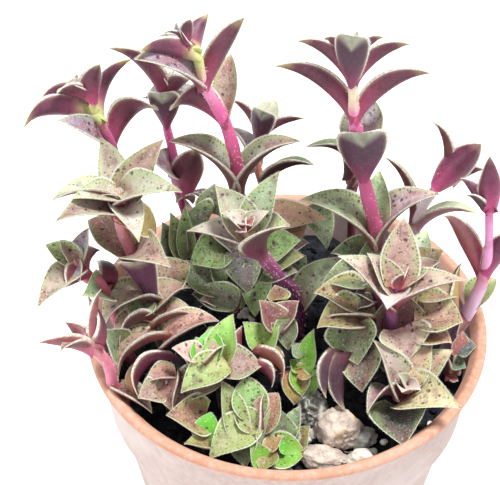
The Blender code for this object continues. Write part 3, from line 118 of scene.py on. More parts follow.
COLUMNS = {
"m": dict(axis=[("w",-25,-21,71.5),("w",-27,-14,82),("w",-29,-7,92)], rad=[2.4,2.2,1.8],
  groups={"m_upper":[((160,301,-3),(103,329,-10),9,.34,38,"paleolive",dict(fold=.6,strap=True)),((150,314,-5),(191,288,-1),9,.2,42,"tan",dict(fold=.6)),((152,328,-8),(199,319,-7),9,.24,26,"tan",dict(fold=.6)),
                   ((162,324,-7),(119,351,-14),8,.34,12,"maroon",dict(fold=.65,strap=True)),((214,306,-2),(200,300,-2),5,.1,30,"maroon"),((158,349,-13),(219,321,-9),8.5,.14,38,"tanbrown",dict(fold=.55,strap=True)),((150,300,-4),(130,320,-8),8,.05,60,"green"),(("w",-28,-7,88),("w",-38,4,89),8,.1,80,"tan")],
          "m_lower":[((172,336,-11),(118,380,-19),9,.24,22,"tan",dict(fold=.6,strap=True)),((174,357,-14),(146,409,-25),9,.36,4,"orangepurple",dict(fold=.5,strap=True)),
                   ((178,376,-17),(144,384,-22),6,.14,46,"brownpink"),((176,374,-18),(173,412,-26),7.5,.12,40,"brownpink"),((180,378,-18),(178,398,-22),5,.2,-30,"magenta"),((216,378,-17),(172,411,-25),10,.08,55,"olivegreen"),
                   ((206,420,-26),(166,415,-29),10,.06,66,"ochre"),((120,352,-13),(101,330,-15),8,.05,60,"greygreen"),((158,394,-23),(138,398,-26),7,.1,60,"olive")]}),
"n": dict(axis=[("w",-14.2,-17,71),("w",-15,-18,80),("w",-15,-18,85)], rad=[2.0,1.8,1.2],
  groups={"n_leaves":[((222,362,-18),(233,314,-11),8,.08,62,"limegreen"),((228,364,-20),(181,393,-25),8.5,.1,62,"yellowgreen"),((204,364,-19),(196,337,-14),6.5,.05,66,"young"),((212,362,-19),(212,328,-12),7,.05,66,"young"),
                    ((200,360,-19),(172,348,-17),6,.08,50,"pinktan"),((190,352,-17),(197,373,-21),5.5,.05,60,"pinktan"),((204,362,-19),(226,345,-17),8,.12,28,"tan"),
                    ((216,347,-14),(210,326,-10),6,.05,60,"bright"),((218,369,-19),(262,366,-17),9.5,.1,58,"olive"),((236,362,-15),(242,326,-10),6,.05,-25,"red"),((208,354,-18),(205,345,-16),3,0,60,"bright")]}),
"j": dict(axis=[("w",24,-14,71),("w",23,-10,84),("w",22,0,92)], rad=[2.4,2.2,1.8],
  groups={"j_upper":[((366,283,-1),(322,284,-1),9.5,.16,50,"darkgreen"),((372,262,5),(331,253,5),9,.1,50,"darkgreen"),((374,300,-5),(355,293,-5),6,.05,35,"olivedark"),
                   ((362,306,-5),(314,293,-4),11,.14,52,"oliveyellow"),((416,276,0),(443,250,2),10,.08,58,"tanolive"),((418,262,3),(427,230,8),7,.05,62,"palegreen"),
                   ((418,297,-5),(459,297,-5),8.5,.14,48,"tanolive"),((452,312,-6),(462,262,-1),4.5,.03,10,"greenyellow"),((377,262,5),(372,236,9),9,.03,70,"greygreen")],
          "j_lower":[((364,322,-10),(317,328,-11),12,.16,46,"oliveyellow"),((376,318,-9.5),(322,321,-9.5),6.5,.12,26,"oliveyellow"),((356,322,-10),(358,365,-18),12,.06,70,"greenspot"),
                   ((366,344,-14),(362,392,-22),10.5,.05,66,"olivedark"),((392,350,-15),(384,372,-19),7,.05,66,"darkgreen"),((414,318,-9),(463,322,-9),11.5,.14,60,"tanolive"),((412,336,-12),(452,343,-13),9,.14,52,"tanorange"),
                   ((338,350,-15),(326,398,-23),5,.1,-45,"wineunder"),((346,352,-16),(346,411,-25),6,.12,-50,"wineunder"),((375,302,-7),(357,310,-8),6,.05,30,"olivedark"),
                   (("w",24,-5,79),("w",34,5,80),9,.1,85,"tanolive"),(("w",23,-4,83),("w",28,11,83),9,.1,85,"oliveyellow")]}),
"t": dict(axis=[("w",-7,10,71),("w",-7,12,84),("w",-8,15,94)], rad=[2.6,2.4,1.9],
  groups={"t_upper":[((208,222,16),(187,213,17),9,.06,66,"darkgreen"),((214,214,18),(215,183,21),7.5,.05,66,"greygreen"),((228,250,10),(190,264,7),10,.1,66,"greenspots"),
                   ((212,230,14),(234,256,9),8,.08,40,"darkgrey"),((236,250,10),(248,294,3),9,.06,74,"darkgrey"),((258,220,16),(327,220,15),8,.06,62,"orangedry"),((286,222,16),(302,241,12),8,.08,66,"orangedry"),
                   ((192,200,20),(176,204,18),6,.3,20,"drybrown"),((209,200,22),(191,192,23),5,.05,20,"drydark"),((192,252,12),(184,198,20),4,.05,60,"drypink"),
                   (("w",-8,16,90),("w",-13,30,91),9,.1,88,"greygreen"),(("w",-7,16,86),("w",4,27,87),9,.1,85,"greygreen")],
          "t_lower":[((222,264,9),(243,308,1),10.5,.06,66,"darkgreen"),((260,262,8),(255,317,0),8,.05,70,"greenspots"),((200,276,8),(241,309,0),9,.1,52,"greenyellow"),
                   ((264,252,8),(301,240,8),8.5,.06,68,"greenspots"),((264,266,6),(304,256,6),8,.06,60,"greenyellow"),((262,276,5),(298,272,4),7,.06,56,"darkgreen"),((292,249,9),(309,243,9),4,.1,50,"drybrown"),((308,206,20),(327,249,12),7.5,.05,60,"greygreen"),
                   ((190,258,11),(186,205,17),5,.05,62,"greenspots"),((180,256,12),(170,212,17),6,.05,60,"yellowgreen"),((172,262,11),(162,222,15),8,.05,64,"greygreen"),((190,284,6),(170,262,8),8,.05,60,"darkgreen"),((222,292,2),(178,274,6),9,.1,60,"darkgreen"),((238,306,-2),(192,294,2),8,.08,60,"greengrey"),
                   (("w",-6,14,78),("w",-12,27,79),10,.1,88,"darkgreen"),(("w",-5,13,76),("w",5,24,78),9,.1,85,"darkgreen"),(("w",-9,13,77),("w",-22,21,78),9,.1,85,"darkgreen")]}),
"p": dict(axis=[("w",2.5,-12,71.5),("w",3,-12.5,74.5),("w",3,-13,77)], rad=[1.5,1.4,1.0],
  groups={"p_leaves":[((300,366,-13),(306,400,-18),8,.05,72,"bright"),((308,368,-13),(314,329,-8),5,.05,62,"bright"),((302,357,-12),(292,345,-10),6,.05,50,"greygreen"),
                    ((296,376,-15),(315,374,-14),5,.08,50,"orangegreen"),((286,372,-15),(294,405,-19.5),8.5,.1,50,"orangegreen"),((300,372,-14),(290,360,-12),5,.05,50,"bright")]}),
"v": dict(axis=[("w",-3,-3,71.5),("w",-3,-6,78),("w",-3,-7,83)], rad=[1.5,1.4,1.0],
  groups={"v_leaves":[((303,306,4),(349,257,8),8.5,.16,52,"greenbrown"),((262,350,-12),(243,322,-8),7.5,.08,58,"limegreen"),((262,350,-12),(280,323,-8),7.5,.08,58,"limegreen"),((276,334,-9),(299,301,-2),9,.1,46,"redleaf"),
                    ((276,332,-9),(259,300,-4),8,.06,50,"redleaf"),((290,318,-8),(288,350,-12),6,.05,62,"greygreen"),((276,300,-2),(275,285,0),6,.03,60,"ochre"),((277,368,-15),(254,352,-13),7,.08,45,"orangegreen"),
                    ((254,362,-16),(272,387,-20),4.6,.14,-22,"redleaf"),((252,350,-14),(283,379,-18),5,.18,-20,"orange")]}),
"o": dict(axis=[("w",-8,-27,71.5),("w",-8,-27,74.5),("w",-8,-27,77)], rad=[1.5,1.4,1.0],
  groups={"o_leaves":[((251,420,-27),(247,376,-20),8.2,.04,78,"greenspots",dict(strap=True)),((238,446,-31),(222,381,-22),6.5,.04,62,"yellowgreen",dict(strap=True)),((253,424,-28),(209,459,-36),9,.05,74,"yellowgreen"),
                    ((255,430,-29),(231,406,-25),6,.05,66,"yellowgreen"),((262,432,-29),(278,393,-23),9,.08,60,"tanorange",dict(strap=True)),((260,432,-29),(264,394,-24),5.5,.06,30,"brownpink"),((250,436,-30),(246,468,-36),8,.06,50,"greygreen")]}),
"q": dict(axis=[("w",-2.8,-31,71.5),("w",-2.8,-31,75),("w",-2.8,-31,77.5)], rad=[1.3,1.2,.9],
  groups={"q_leaves":[((274,450,-31),(273,404,-25),10,.04,78,"green"),((264,453,-33),(305,453,-33),8.4,.05,72,"bright",dict(strap=True)),((262,466,-36),(250,441,-33),5.4,.05,66,"bright"),
                    ((270,453,-34),(261,472,-38),6,.05,66,"tangreen"),((268,452,-34),(284,436,-31),4.2,.05,50,"orangegreen"),((288,452,-33),(279,438,-31),4.5,.05,60,"young"),
                    ((288,440,-30),(300,406,-24),5,.06,62,"green"),((296,448,-31),(310,426,-28),6,.05,62,"tangreen")]}),
"w": dict(axis=[("w",-18,-30,71.5),("w",-18,-30,74.5),("w",-18,-30,76.5)], rad=[1.2,1.1,.9],
  groups={"w_leaves":[((208,447,-32),(211,412,-26),6,.07,72,"young",dict(strap=True)),((211,445,-32),(184,444,-34),4.4,.1,50,"tangreen"),((206,438,-31),(198,430,-29),5,.05,70,"bright")]}),
"x": dict(axis=[("w",34,-9,71.5),("w",34,-10,75),("w",34,-11,78)], rad=[1.2,1.1,.8],
  groups={"x_leaves":[((450,376,-12),(447,354,-8),6,.05,20,"red"),((452,366,-11),(466,368,-12),5,.05,45,"greendark"),((456,356,-9),(462,330,-5),5,.05,60,"red"),((458,350,-8),(476,346,-8),6,.05,60,"greydark"),((446,378,-13),(458,381,-13),4,.05,40,"red")]}),
}

NO_STEM = ("k", "l", "m", "n", "j", "t", "p", "v", "o", "q", "w", "x")

# Leaf kinds: upper face, its base, its tip, underside, underside at the base (0 to 255), spots
KINDS = {
    "purple": ((190, 178, 150), (205, 130, 140), (205, 195, 130), (110, 56, 72), (166, 64, 96), 0.6),
    "purplelime": ((190, 190, 150), (200, 200, 130), (210, 200, 120), (118, 66, 84), (176, 76, 108), 0.6),
    "violetlime": ((150, 140, 158), (180, 190, 130), (200, 196, 130), (100, 66, 82), (160, 80, 100), 1.0),
    "heart": ((196, 190, 170), (200, 180, 160), (214, 214, 190), (86, 52, 70), (156, 62, 98), 0.3),
    "fan": ((186, 150, 140), (180, 120, 120), (206, 196, 160), (104, 52, 82), (112, 56, 92), 0.4),
    "wine": ((172, 128, 122), (158, 92, 104), (196, 176, 140), (100, 60, 66), (110, 56, 66), 0.7),
    "barkleaf": ((134, 102, 80), (140, 90, 70), (176, 170, 110), (110, 70, 66), (130, 66, 66), 1.2),
    "wineunder": ((150, 120, 100), (150, 90, 80), (200, 170, 130), (84, 54, 64), (110, 60, 70), 0.4),
    "leopard": ((162, 140, 104), (150, 110, 90), (170, 176, 110), (110, 60, 76), (120, 60, 90), 2.2),
    "greenspots": ((150, 186, 112), (120, 130, 80), (176, 196, 120), (120, 80, 70), (130, 70, 66), 1.8),
    "redleaf": ((136, 84, 80), (150, 66, 80), (176, 130, 100), (140, 70, 80), (150, 64, 84), 0.5),
    "violet": ((180, 170, 172), (190, 130, 140), (200, 190, 150), (92, 64, 78), (150, 66, 88), 0.6),
    "grey": ((176, 168, 172), (175, 135, 140), (192, 190, 150), (108, 68, 84), (150, 70, 92), 1.0),
    "greyspot": ((178, 172, 168), (176, 140, 135), (175, 195, 140), (108, 68, 84), (150, 70, 92), 1.2),
    "violetspot": ((158, 144, 158), (170, 140, 120), (190, 182, 140), (94, 66, 77), (150, 80, 96), 1.0),
    "dark": ((98, 118, 88), (110, 90, 70), (150, 150, 110), (72, 48, 50), (100, 50, 60), 0.5),
    "pale": ((205, 205, 180), (190, 160, 150), (205, 200, 150), (130, 90, 95), (150, 80, 90), 0.4),
    "green": ((160, 186, 140), (168, 150, 120), (175, 180, 120), (104, 68, 70), (120, 60, 62), 1.2),
    "greenmauve": ((172, 172, 152), (158, 128, 132), (176, 180, 124), (104, 60, 66), (136, 58, 72), 1.1),
    "greenspot": ((112, 128, 92), (120, 112, 80), (150, 140, 80), (100, 70, 66), (120, 60, 62), 1.3),
    "greenbrown": ((172, 186, 148), (160, 120, 100), (178, 176, 120), (118, 78, 74), (130, 62, 66), 1.3),
    "brown": ((165, 140, 118), (186, 120, 118), (190, 182, 128), (120, 76, 76), (150, 66, 84), 1.0),
    "mauve": ((176, 154, 150), (165, 120, 112), (200, 190, 150), (112, 70, 76), (140, 62, 74), 1.2),
    "mauvegreen": ((200, 200, 150), (190, 160, 140), (205, 200, 150), (106, 70, 74), (140, 68, 90), 0.6),
    "magenta": ((170, 120, 130), (190, 110, 130), (190, 160, 130), (116, 50, 76), (186, 72, 116), 0.3),
    "red": ((190, 120, 110), (200, 110, 110), (200, 160, 120), (140, 74, 76), (180, 80, 96), 0.3),
    "redbrown": ((160, 140, 112), (170, 110, 110), (170, 160, 110), (130, 78, 76), (150, 76, 84), 0.3),
    "palegreen": ((214, 226, 190), (205, 200, 180), (206, 196, 110), (170, 130, 130), (200, 150, 160), 0.4),
    "greengrey": ((120, 136, 108), (100, 100, 80), (160, 160, 100), (90, 64, 60), (120, 60, 62), 1.2),
    "lime": ((200, 198, 172), (206, 164, 156), (190, 198, 128), (128, 80, 84), (170, 90, 100), 0.8),
    "limepink": ((212, 204, 180), (214, 160, 160), (200, 200, 140), (150, 96, 92), (176, 96, 104), 0.7),
    "limegreen": ((160, 200, 100), (170, 150, 90), (150, 190, 70), (150, 110, 70), (170, 90, 70), 0.7),
    "limebrown": ((186, 190, 130), (170, 110, 90), (190, 190, 130), (120, 80, 70), (140, 70, 70), 1.1),
    "young": ((112, 196, 50), (120, 190, 60), (160, 220, 120), (120, 180, 60), (150, 160, 80), 0.1),
    "bright": ((132, 192, 60), (150, 200, 80), (176, 160, 80), (130, 170, 70), (170, 130, 80), 0.35),
    "olive": ((180, 166, 142), (176, 130, 110), (186, 176, 120), (118, 78, 76), (150, 76, 84), 1.3),
    "oliveyellow": ((172, 156, 104), (150, 130, 86), (196, 176, 100), (110, 76, 66), (130, 70, 66), 1.2),
    "olivedark": ((116, 110, 88), (110, 100, 76), (150, 130, 86), (90, 60, 62), (110, 56, 62), 1.3),
    "olivegreen": ((190, 172, 136), (170, 150, 100), (190, 170, 110), (150, 92, 80), (160, 80, 80), 1.3),
    "paleolive": ((196, 192, 156), (186, 170, 130), (200, 196, 150), (84, 50, 60), (100, 52, 62), 1.2),
    "tan": ((204, 182, 150), (200, 160, 134), (208, 194, 150), (120, 66, 68), (150, 70, 72), 1.2),
    "tanbrown": ((206, 168, 144), (190, 150, 120), (210, 180, 160), (100, 58, 66), (130, 60, 66), 1.4),
    "tanpink": ((196, 176, 150), (186, 108, 104), (206, 200, 160), (126, 74, 80), (150, 70, 84), 1.1),
    "tanolive": ((176, 156, 112), (166, 140, 100), (186, 170, 110), (120, 80, 66), (140, 76, 70), 1.3),
    "tanorange": ((196, 156, 112), (186, 130, 96), (200, 160, 110), (130, 80, 66), (150, 76, 70), 1.3),
    "tangreen": ((170, 170, 90), (180, 150, 90), (170, 140, 80), (140, 120, 70), (150, 90, 60), 0.8),
    "brownpink": ((200, 156, 136), (190, 130, 116), (210, 170, 146), (130, 60, 80), (156, 66, 88), 0.9),
    "pinktan": ((228, 196, 178), (214, 176, 150), (226, 190, 170), (160, 110, 96), (180, 110, 96), 0.8),
    "pinkgreen": ((198, 182, 156), (190, 132, 134), (212, 206, 170), (138, 74, 84), (160, 70, 84), 0.9),
    "whitepink": ((222, 206, 190), (206, 160, 160), (232, 226, 206), (190, 130, 140), (176, 90, 110), 0.15),
    "pink": ((196, 160, 140), (206, 140, 140), (200, 170, 140), (160, 96, 96), (190, 100, 120), 0.4),
    "pinkbrown": ((176, 140, 122), (180, 110, 110), (190, 160, 130), (140, 84, 84), (160, 80, 90), 0.7),
    "purplegrey": ((178, 160, 142), (170, 120, 110), (186, 166, 140), (96, 60, 76), (140, 66, 84), 0.9),
    "maroon": ((206, 176, 150), (186, 140, 120), (206, 180, 150), (92, 52, 58), (150, 70, 66), 0.9),
    "orangepurple": ((206, 158, 104), (186, 130, 90), (200, 120, 100), (118, 52, 68), (104, 50, 78), 0.3),
    "orange": ((186, 140, 96), (190, 130, 90), (190, 150, 100), (150, 92, 78), (160, 84, 78), 0.3),
    "orangegreen": ((170, 150, 80), (190, 120, 80), (200, 140, 96), (170, 100, 70), (190, 100, 80), 0.5),
    "ochre": ((180, 152, 108), (170, 150, 80), (190, 160, 110), (150, 110, 70), (160, 90, 66), 1.3),
    "greydots": ((196, 182, 160), (176, 120, 110), (206, 196, 150), (100, 62, 74), (140, 66, 80), 1.3),
    "yellowspot": ((210, 200, 150), (206, 150, 120), (206, 200, 140), (110, 66, 66), (140, 66, 70), 1.2),
    "yellowgreen": ((168, 182, 116), (182, 180, 116), (190, 190, 120), (140, 130, 80), (150, 100, 76), 1.0),
    "darkspot": ((86, 88, 78), (92, 80, 72), (110, 100, 80), (70, 46, 52), (90, 50, 56), 1.6),
    "greygreen": ((140, 160, 122), (130, 140, 92), (160, 170, 130), (104, 74, 72), (120, 66, 66), 1.0),
    "darkgreen": ((112, 134, 92), (90, 100, 64), (150, 150, 96), (84, 60, 58), (110, 60, 60), 1.3),
    "darkgrey": ((112, 114, 110), (100, 96, 90), (150, 140, 90), (80, 56, 60), (100, 56, 60), 1.0),
    "greenyellow": ((150, 160, 106), (150, 150, 80), (196, 176, 80), (176, 150, 80), (160, 80, 70), 0.7),
    "greendark": ((110, 140, 110), (120, 130, 100), (170, 180, 140), (90, 70, 70), (100, 60, 60), 0.6),
    "greydark": ((110, 126, 124), (100, 110, 100), (130, 140, 120), (80, 64, 66), (90, 60, 62), 0.5),
    "orangedry": ((212, 176, 136), (200, 150, 110), (206, 160, 96), (190, 140, 96), (190, 130, 90), 0.5),
    "drybrown": ((146, 124, 116), (130, 106, 98), (150, 130, 110), (140, 116, 108), (120, 96, 90), 0.2),
    "drydark": ((84, 70, 76), (76, 62, 66), (96, 84, 84), (70, 58, 62), (66, 54, 58), 0.1),
    "drypink": ((196, 160, 140), (190, 140, 120), (200, 170, 150), (180, 140, 120), (170, 120, 110), 0.2),
}


GAIN = 0.79


YOUNG = ("purplelime", "violetlime")


def lin(c):
    r, g, b = c
    bright = min(1.0, max(0.0, ((0.3 * r + 0.59 * g + 0.11 * b) / 255 - 0.33) / 0.25))
    c = (r * 0.965, g, b) if g > r - 3 else (r, g, min(250.0, b * 1.06))
    return GAIN * (1 + 0.17 * bright) * np.array([x / 255 / 12.92 if x <= 10 else ((x / 255 + 0.055) / 1.055) ** 2.4 for x in c])


def unit(v):
    return v / max(1e-9, np.linalg.norm(v))


def ray(px, py):
    return FORWARD + RIGHT * (px - MID_X) / SCALE + UP * (MID_Y - py) / SCALE


def seen(px, py, y):
    d = ray(px, py)
    return EYE + d * ((y - EYE[1]) / d[1])


def seen_on(px, py, z):
    d = ray(px, py)
    return EYE + d * ((z - EYE[2]) / d[2])


def point(p):
    return np.array(p[1:], float) if p[0] == "w" else seen(*p)


def tip_at(start, px, py, length, near):
    d = unit(ray(px, py))
    m = EYE - start
    b = m @ d
    rest = b * b - m @ m + length**2
    if rest < 0:
        return EYE - d * b
    return EYE + d * (-b - math.copysign(math.sqrt(rest), near))


def along(points, k):
    i = min(int(k), len(points) - 2)
    return points[i] + (points[i + 1] - points[i]) * (k - i)


def nearest(points, p):
    steps = [i + f / 6 for i in range(len(points) - 1) for f in range(7)]
    return min(steps, key=lambda k: np.linalg.norm(p - along(points, k)))


def leaf_frame(start, tip, axis, turn):
    c = unit(tip - start)
    v = unit(EYE - (start + tip) / 2)
    v = unit(v - c * (v @ c))
    u = np.cross(c, v)
    if u @ (axis - c * (c @ axis)) < 0:
        u = -u
    a = math.radians(turn)
    n = unit(u * math.cos(a) + v * math.sin(a))
    return c, n, np.cross(c, n)


class Pile:
    """Points, faces and point data of one mesh while it is put together."""

    def __init__(self):
        self.points, self.tone, self.place, self.marks, self.faces, self.slots, self.count = [], [], [], [], [], [], 0

    def add(self, points, faces, tone, place, marks, slot=0):
        self.points.append(points)
        self.tone.append(tone)
        self.place.append(place)
        self.marks.append(marks)
        self.faces += [tuple(i + self.count for i in f) for f in faces]
        self.slots += [slot] * len(faces)
        self.count += len(points)

    def build(self, name, materials):
        mesh = bpy.data.meshes.new(name)
        points = np.concatenate(self.points) / 1000
        mesh.from_pydata(points.tolist(), [], self.faces)
        for key, rows, kind in (("tone", self.tone, "FLOAT_COLOR"), ("place", self.place, "FLOAT_VECTOR"), ("marks", self.marks, "FLOAT_VECTOR")):
            data = np.concatenate(rows).astype(np.float32)
            if kind == "FLOAT_COLOR":
                data = np.hstack([data, np.ones((len(data), 1), np.float32)])
            layer = mesh.attributes.new(key, kind, "POINT")
            layer.data.foreach_set("color" if kind == "FLOAT_COLOR" else "vector", np.ascontiguousarray(data).ravel())
        for m in materials:
            mesh.materials.append(m)
        mesh.polygons.foreach_set("material_index", self.slots)
        mesh.polygons.foreach_set("use_smooth", [True] * len(self.faces))
        mesh.update()
        obj = bpy.data.objects.new(name, mesh)
        bpy.context.scene.collection.objects.link(obj)
        return obj


def outline(t, strap):
    """Half width along a leaf: the young shoots' leaves are straps, the others egg-shaped with a drawn-out tip."""
    wide, power, last, foot = (0.4, 2.1, 0.92, 0.5) if strap else (0.34, 1.55, 1.05, 0.7)
    u = np.clip((t - wide) / (1 - wide), 0, 1)
    return np.where(t < wide, foot + (1 - foot) * np.sin(np.pi / 2 * np.clip(t / wide, 0, 1)), np.clip(1 - u**power, 0, 1) ** last)


def add_leaf(pile, start, tip, frame_of, width, arch, kind, dice, grip=0.0, strap=False, hook=False, fold=0.5, fine=1.0):
    """One fleshy leaf: a grooved upper face, a rounded underside and a thin pale rim set with short hairs."""
    c, n, s = frame_of
    length = np.linalg.norm(tip - start)
    nt, ns = (26, 14) if length > 8 else (18, 10)
    t = np.linspace(0, 1, nt) ** 0.93
    q = np.sin(np.linspace(-1, 1, ns + 1) * np.pi / 2)
    w = width / 2 * outline(t, strap)
    heart = kind == "heart"
    if heart:
        w = width / 2 * np.clip(0.3 + 0.7 * np.sin(np.pi / 2 * np.clip(t / 0.72, 0, 1)), 0, 1) * np.sqrt(np.clip(1 - np.clip((t - 0.72) / 0.31, 0, 1) ** 2.4, 0, 1))
    if kind == "fan":
        w = width / 2 * (0.28 + 0.72 * np.clip(t / 0.85, 0, 1) ** 1.2) * np.sqrt(np.clip(1 - np.clip((t - 0.82) / 0.19, 0, 1) ** 2.2, 0, 1))
    w[-1] = 0.02
    wave = dice.uniform(-0.18, 0.18)
    turn = dice.uniform(0, 6.28)
    lean = dice.uniform(-0.03, 0.03)
    curl = dice.uniform(0.035, 0.075)
    bow = arch * ((1 - np.abs(2 * t - 1) ** 2.7) if hook else (t**0.75 * (1 - t)) / 0.3027) + curl * (t**1.6 - t**6) / 0.5
    spine = start + np.outer(t * length, c) + np.outer(bow * length - grip * np.exp(-t / 0.14), n) + np.outer(lean * length * np.sin(np.pi * t), s)
    fold = fold + (0.25 + 0.2 * min(1.0, grip)) * np.exp(-t / 0.09) - 0.12 * t
    if kind in ("heart", "fan"):
        fold = 0.3 + 0.5 * np.exp(-t / 0.2)
    thick = (1.55 * (1 - 0.68 * t) + 0.1) * min(1.0, length / 9 + 0.15)
    T, Q = np.meshgrid(t, q, indexing="ij")
    W, F, H = w[:, None], fold[:, None], thick[:, None]
    rise = F * W * np.abs(Q) ** 1.7 + wave * np.sin(T * 7 + turn + Q) * np.abs(Q) ** 3 * (1 - T * 0.5)
    side = Q * W
    body = spine[:, None, :]
    if heart:
        dip = -0.24 * length * np.clip((T - 0.35) / 0.65, 0, 1) ** 1.5 * np.clip(1 - np.abs(Q) / 0.62, 0, 1) ** 1.3
        body = body + dip[..., None] * c
    upper = body + side[..., None] * s + rise[..., None] * n
    rim = 0.16
    down = rise - rim - (H - rim) * np.clip(1 - np.abs(Q) ** 2.3, 0, 1) ** 0.62 * np.clip(W / 1.2, 0.1, 1)
    under = body + (side * 0.985)[..., None] * s + down[..., None] * n
    look = KINDS[kind]
    mid, base, end, low, lowbase = (lin(x) for x in look[:5])
    shift = dice.uniform(0.9, 1.1)
    a = np.clip(1 - T / 0.42, 0, 1)[..., None] ** 1.3
    b = (np.clip((T - 0.8) / 0.2, 0, 1)[..., None]) ** 1.4
    up_tone = (mid * (1 - a) + base * a) * (1 - b) + end * b
    edge = np.clip((np.abs(Q) - 0.72) / 0.2, 0, 1)[..., None] * (1 - a)
    up_tone = up_tone * (1 - 0.35 * edge) + (0.6 * end + 0.4 * mid) * 0.35 * edge
    a2 = np.clip(1 - T / 0.5, 0, 1)[..., None]
    b2 = np.clip((T - 0.8) / 0.2, 0, 1)[..., None]
    low_tone = (low * (1 - a2) + lowbase * a2) * (1 - b2) + (0.75 * end + 0.25 * low) * b2
    if kind in YOUNG:
        a3 = np.clip(1 - T / 0.3, 0, 1)[..., None] ** 1.2
        low_tone = low_tone * (1 - a3) + lin((214, 220, 140)) * a3
    m = nt * (ns + 1)
    place_up = np.stack([T, np.abs(Q), np.ones_like(T)], -1).reshape(m, 3)
    place_low = np.stack([T, np.abs(Q), np.zeros_like(T)], -1).reshape(m, 3)
    marks = np.stack([np.full_like(T, look[5]), T * length, np.full_like(T, 0.35 if look[0][1] > look[0][0] else 1.0)], -1).reshape(m, 3)
    faces = []
    r = ns + 1
    for i in range(nt - 1):
        for j in range(ns):
            k = i * r + j
            faces.append((k, k + r, k + r + 1, k + 1))
            k += m
            faces.append((k, k + 1, k + r + 1, k + r))
        for j, flip in ((0, False), (ns, True)):
            k = i * r + j
            f = (k, k + m, k + m + r, k + r)
            faces.append(f[::-1] if flip else f)
    last = (nt - 1) * r
    faces.append(tuple(last + j for j in range(r)) + tuple(last + m + j for j in reversed(range(r))))
    faces.append(tuple(j + m for j in range(r)) + tuple(j for j in reversed(range(r))))
    pile.add(np.concatenate([upper.reshape(m, 3), under.reshape(m, 3)]), faces,
             np.concatenate([up_tone.reshape(m, 3), low_tone.reshape(m, 3)]) * shift,
             np.concatenate([place_up, place_low]), np.concatenate([marks, marks]))
    # Short pale hairs along both edges
    step = 0.30 / fine
    for sign, column in ((1, ns), (-1, 0)):
        edge_line = upper[:, column]
        total = np.cumsum(np.r_[0, np.linalg.norm(np.diff(edge_line, axis=0), axis=1)])
        marks_at = np.arange(0.8, total[-1], step)
        if not len(marks_at):
            continue
        at = np.stack([np.interp(marks_at, total, edge_line[:, x]) for x in range(3)], 1)
        out = []
        for p in range(len(at)):
            reach = dice.uniform(0.16, 0.42)
            d = unit(sign * s + c * dice.uniform(0.1, 0.6) + n * dice.uniform(-0.25, 0.35))
            out.append(d * reach)
        out = np.array(out)
        add_hairs(pile, at - out * 0.3, out * 1.3, 0.065, c)


def add_hairs(pile, at, out, width, sidewise):
    """Three-sided spikes from the points along the vectors."""
    k = len(at)
    if not k:
        return
    d = out / np.maximum(1e-9, np.linalg.norm(out, axis=1))[:, None]
    u = np.cross(d, np.asarray(sidewise) + np.array([0.013, 0.007, 0.011]))
    u /= np.maximum(1e-9, np.linalg.norm(u, axis=1))[:, None]
    v = np.cross(d, u)
    ring = [at + (u * math.cos(x) + v * math.sin(x)) * width for x in (0, 2.094, 4.189)]
    points = np.stack(ring + [at + out], 1).reshape(-1, 3)
    faces = []
    for i in range(k):
        b = 4 * i
        faces += [(b, b + 1, b + 3), (b + 1, b + 2, b + 3), (b + 2, b, b + 3), (b + 2, b + 1, b)]
    tone = np.tile([0.86, 0.84, 0.8], (4 * k, 1))
    pile.add(points, faces, tone, np.zeros((4 * k, 3)), np.zeros((4 * k, 3)), 1)


def smooth_line(points, steps=6):
    p = [2 * points[0] - points[1]] + list(points) + [2 * points[-1] - points[-2]]
    out = []
    for i in range(1, len(p) - 2):
        for j in range(steps):
            t = j / steps
            out.append(0.5 * (2 * p[i] + (p[i + 1] - p[i - 1]) * t + (2 * p[i - 1] - 5 * p[i] + 4 * p[i + 1] - p[i + 2]) * t**2 + (3 * p[i] - p[i - 1] - 3 * p[i + 1] + p[i + 2]) * t**3))
    out.append(p[-2])
    return out


def add_tube(pile, points, radii, tones, sides=14, caps=True):
    """A round shoot through the points; tones gives its colour at each point."""
    ring, tone, place, marks, faces = [], [], [], [], []
    arc = 0.0
    u = None
    for i, p in enumerate(points):
        d = unit(points[min(i + 1, len(points) - 1)] - points[max(i - 1, 0)])
        u = unit(np.cross(d, np.array([0.3, 1.0, 0.1]))) if u is None else unit(u - d * (u @ d))
        v = np.cross(d, u)
        if i:
            arc += np.linalg.norm(p - points[i - 1])
        for j in range(sides):
            a = 2 * math.pi * j / sides
            ring.append(p + (u * math.cos(a) + v * math.sin(a)) * radii[i])
            tone.append(tones[i])
            place.append((i / max(1, len(points) - 1), j / sides, 0.5))
            marks.append((0, arc, 0.5))
    for i in range(len(points) - 1):
        for j in range(sides):
            a, b = i * sides + j, i * sides + (j + 1) % sides
            faces.append((a, b, b + sides, a + sides))
    if caps:
        faces.append(tuple(range(sides))[::-1])
        faces.append(tuple(range((len(points) - 1) * sides, len(points) * sides)))
    pile.add(np.array(ring), faces, np.array(tone), np.array(place), np.array(marks))


def stem_hairs(pile, points, radii, count, reach, dice):
    at, out = [], []
    for _ in range(count):
        k = dice.uniform(0, len(points) - 1.001)
        p = along(points, k)
        i = int(k)
        d = unit(points[i + 1] - points[i])
        u = unit(np.cross(d, np.array([0.3, 1.0, 0.1])))
        v = np.cross(d, u)
        a = dice.uniform(0, 6.283)
        side = u * math.cos(a) + v * math.sin(a)
        at.append(p + side * (radii[i] - 0.05))
        out.append(unit(side + d * dice.uniform(-0.5, 0.3)) * dice.uniform(0.5, 1.0) * reach)
    add_hairs(pile, np.array(at), np.array(out), 0.07, (0.1, 0.2, 1.0))


# Materials
def tree_of(name):
    m = bpy.data.materials.new(name)
    m.use_nodes = True
    t = m.node_tree
    return m, t, t.nodes["Principled BSDF"]


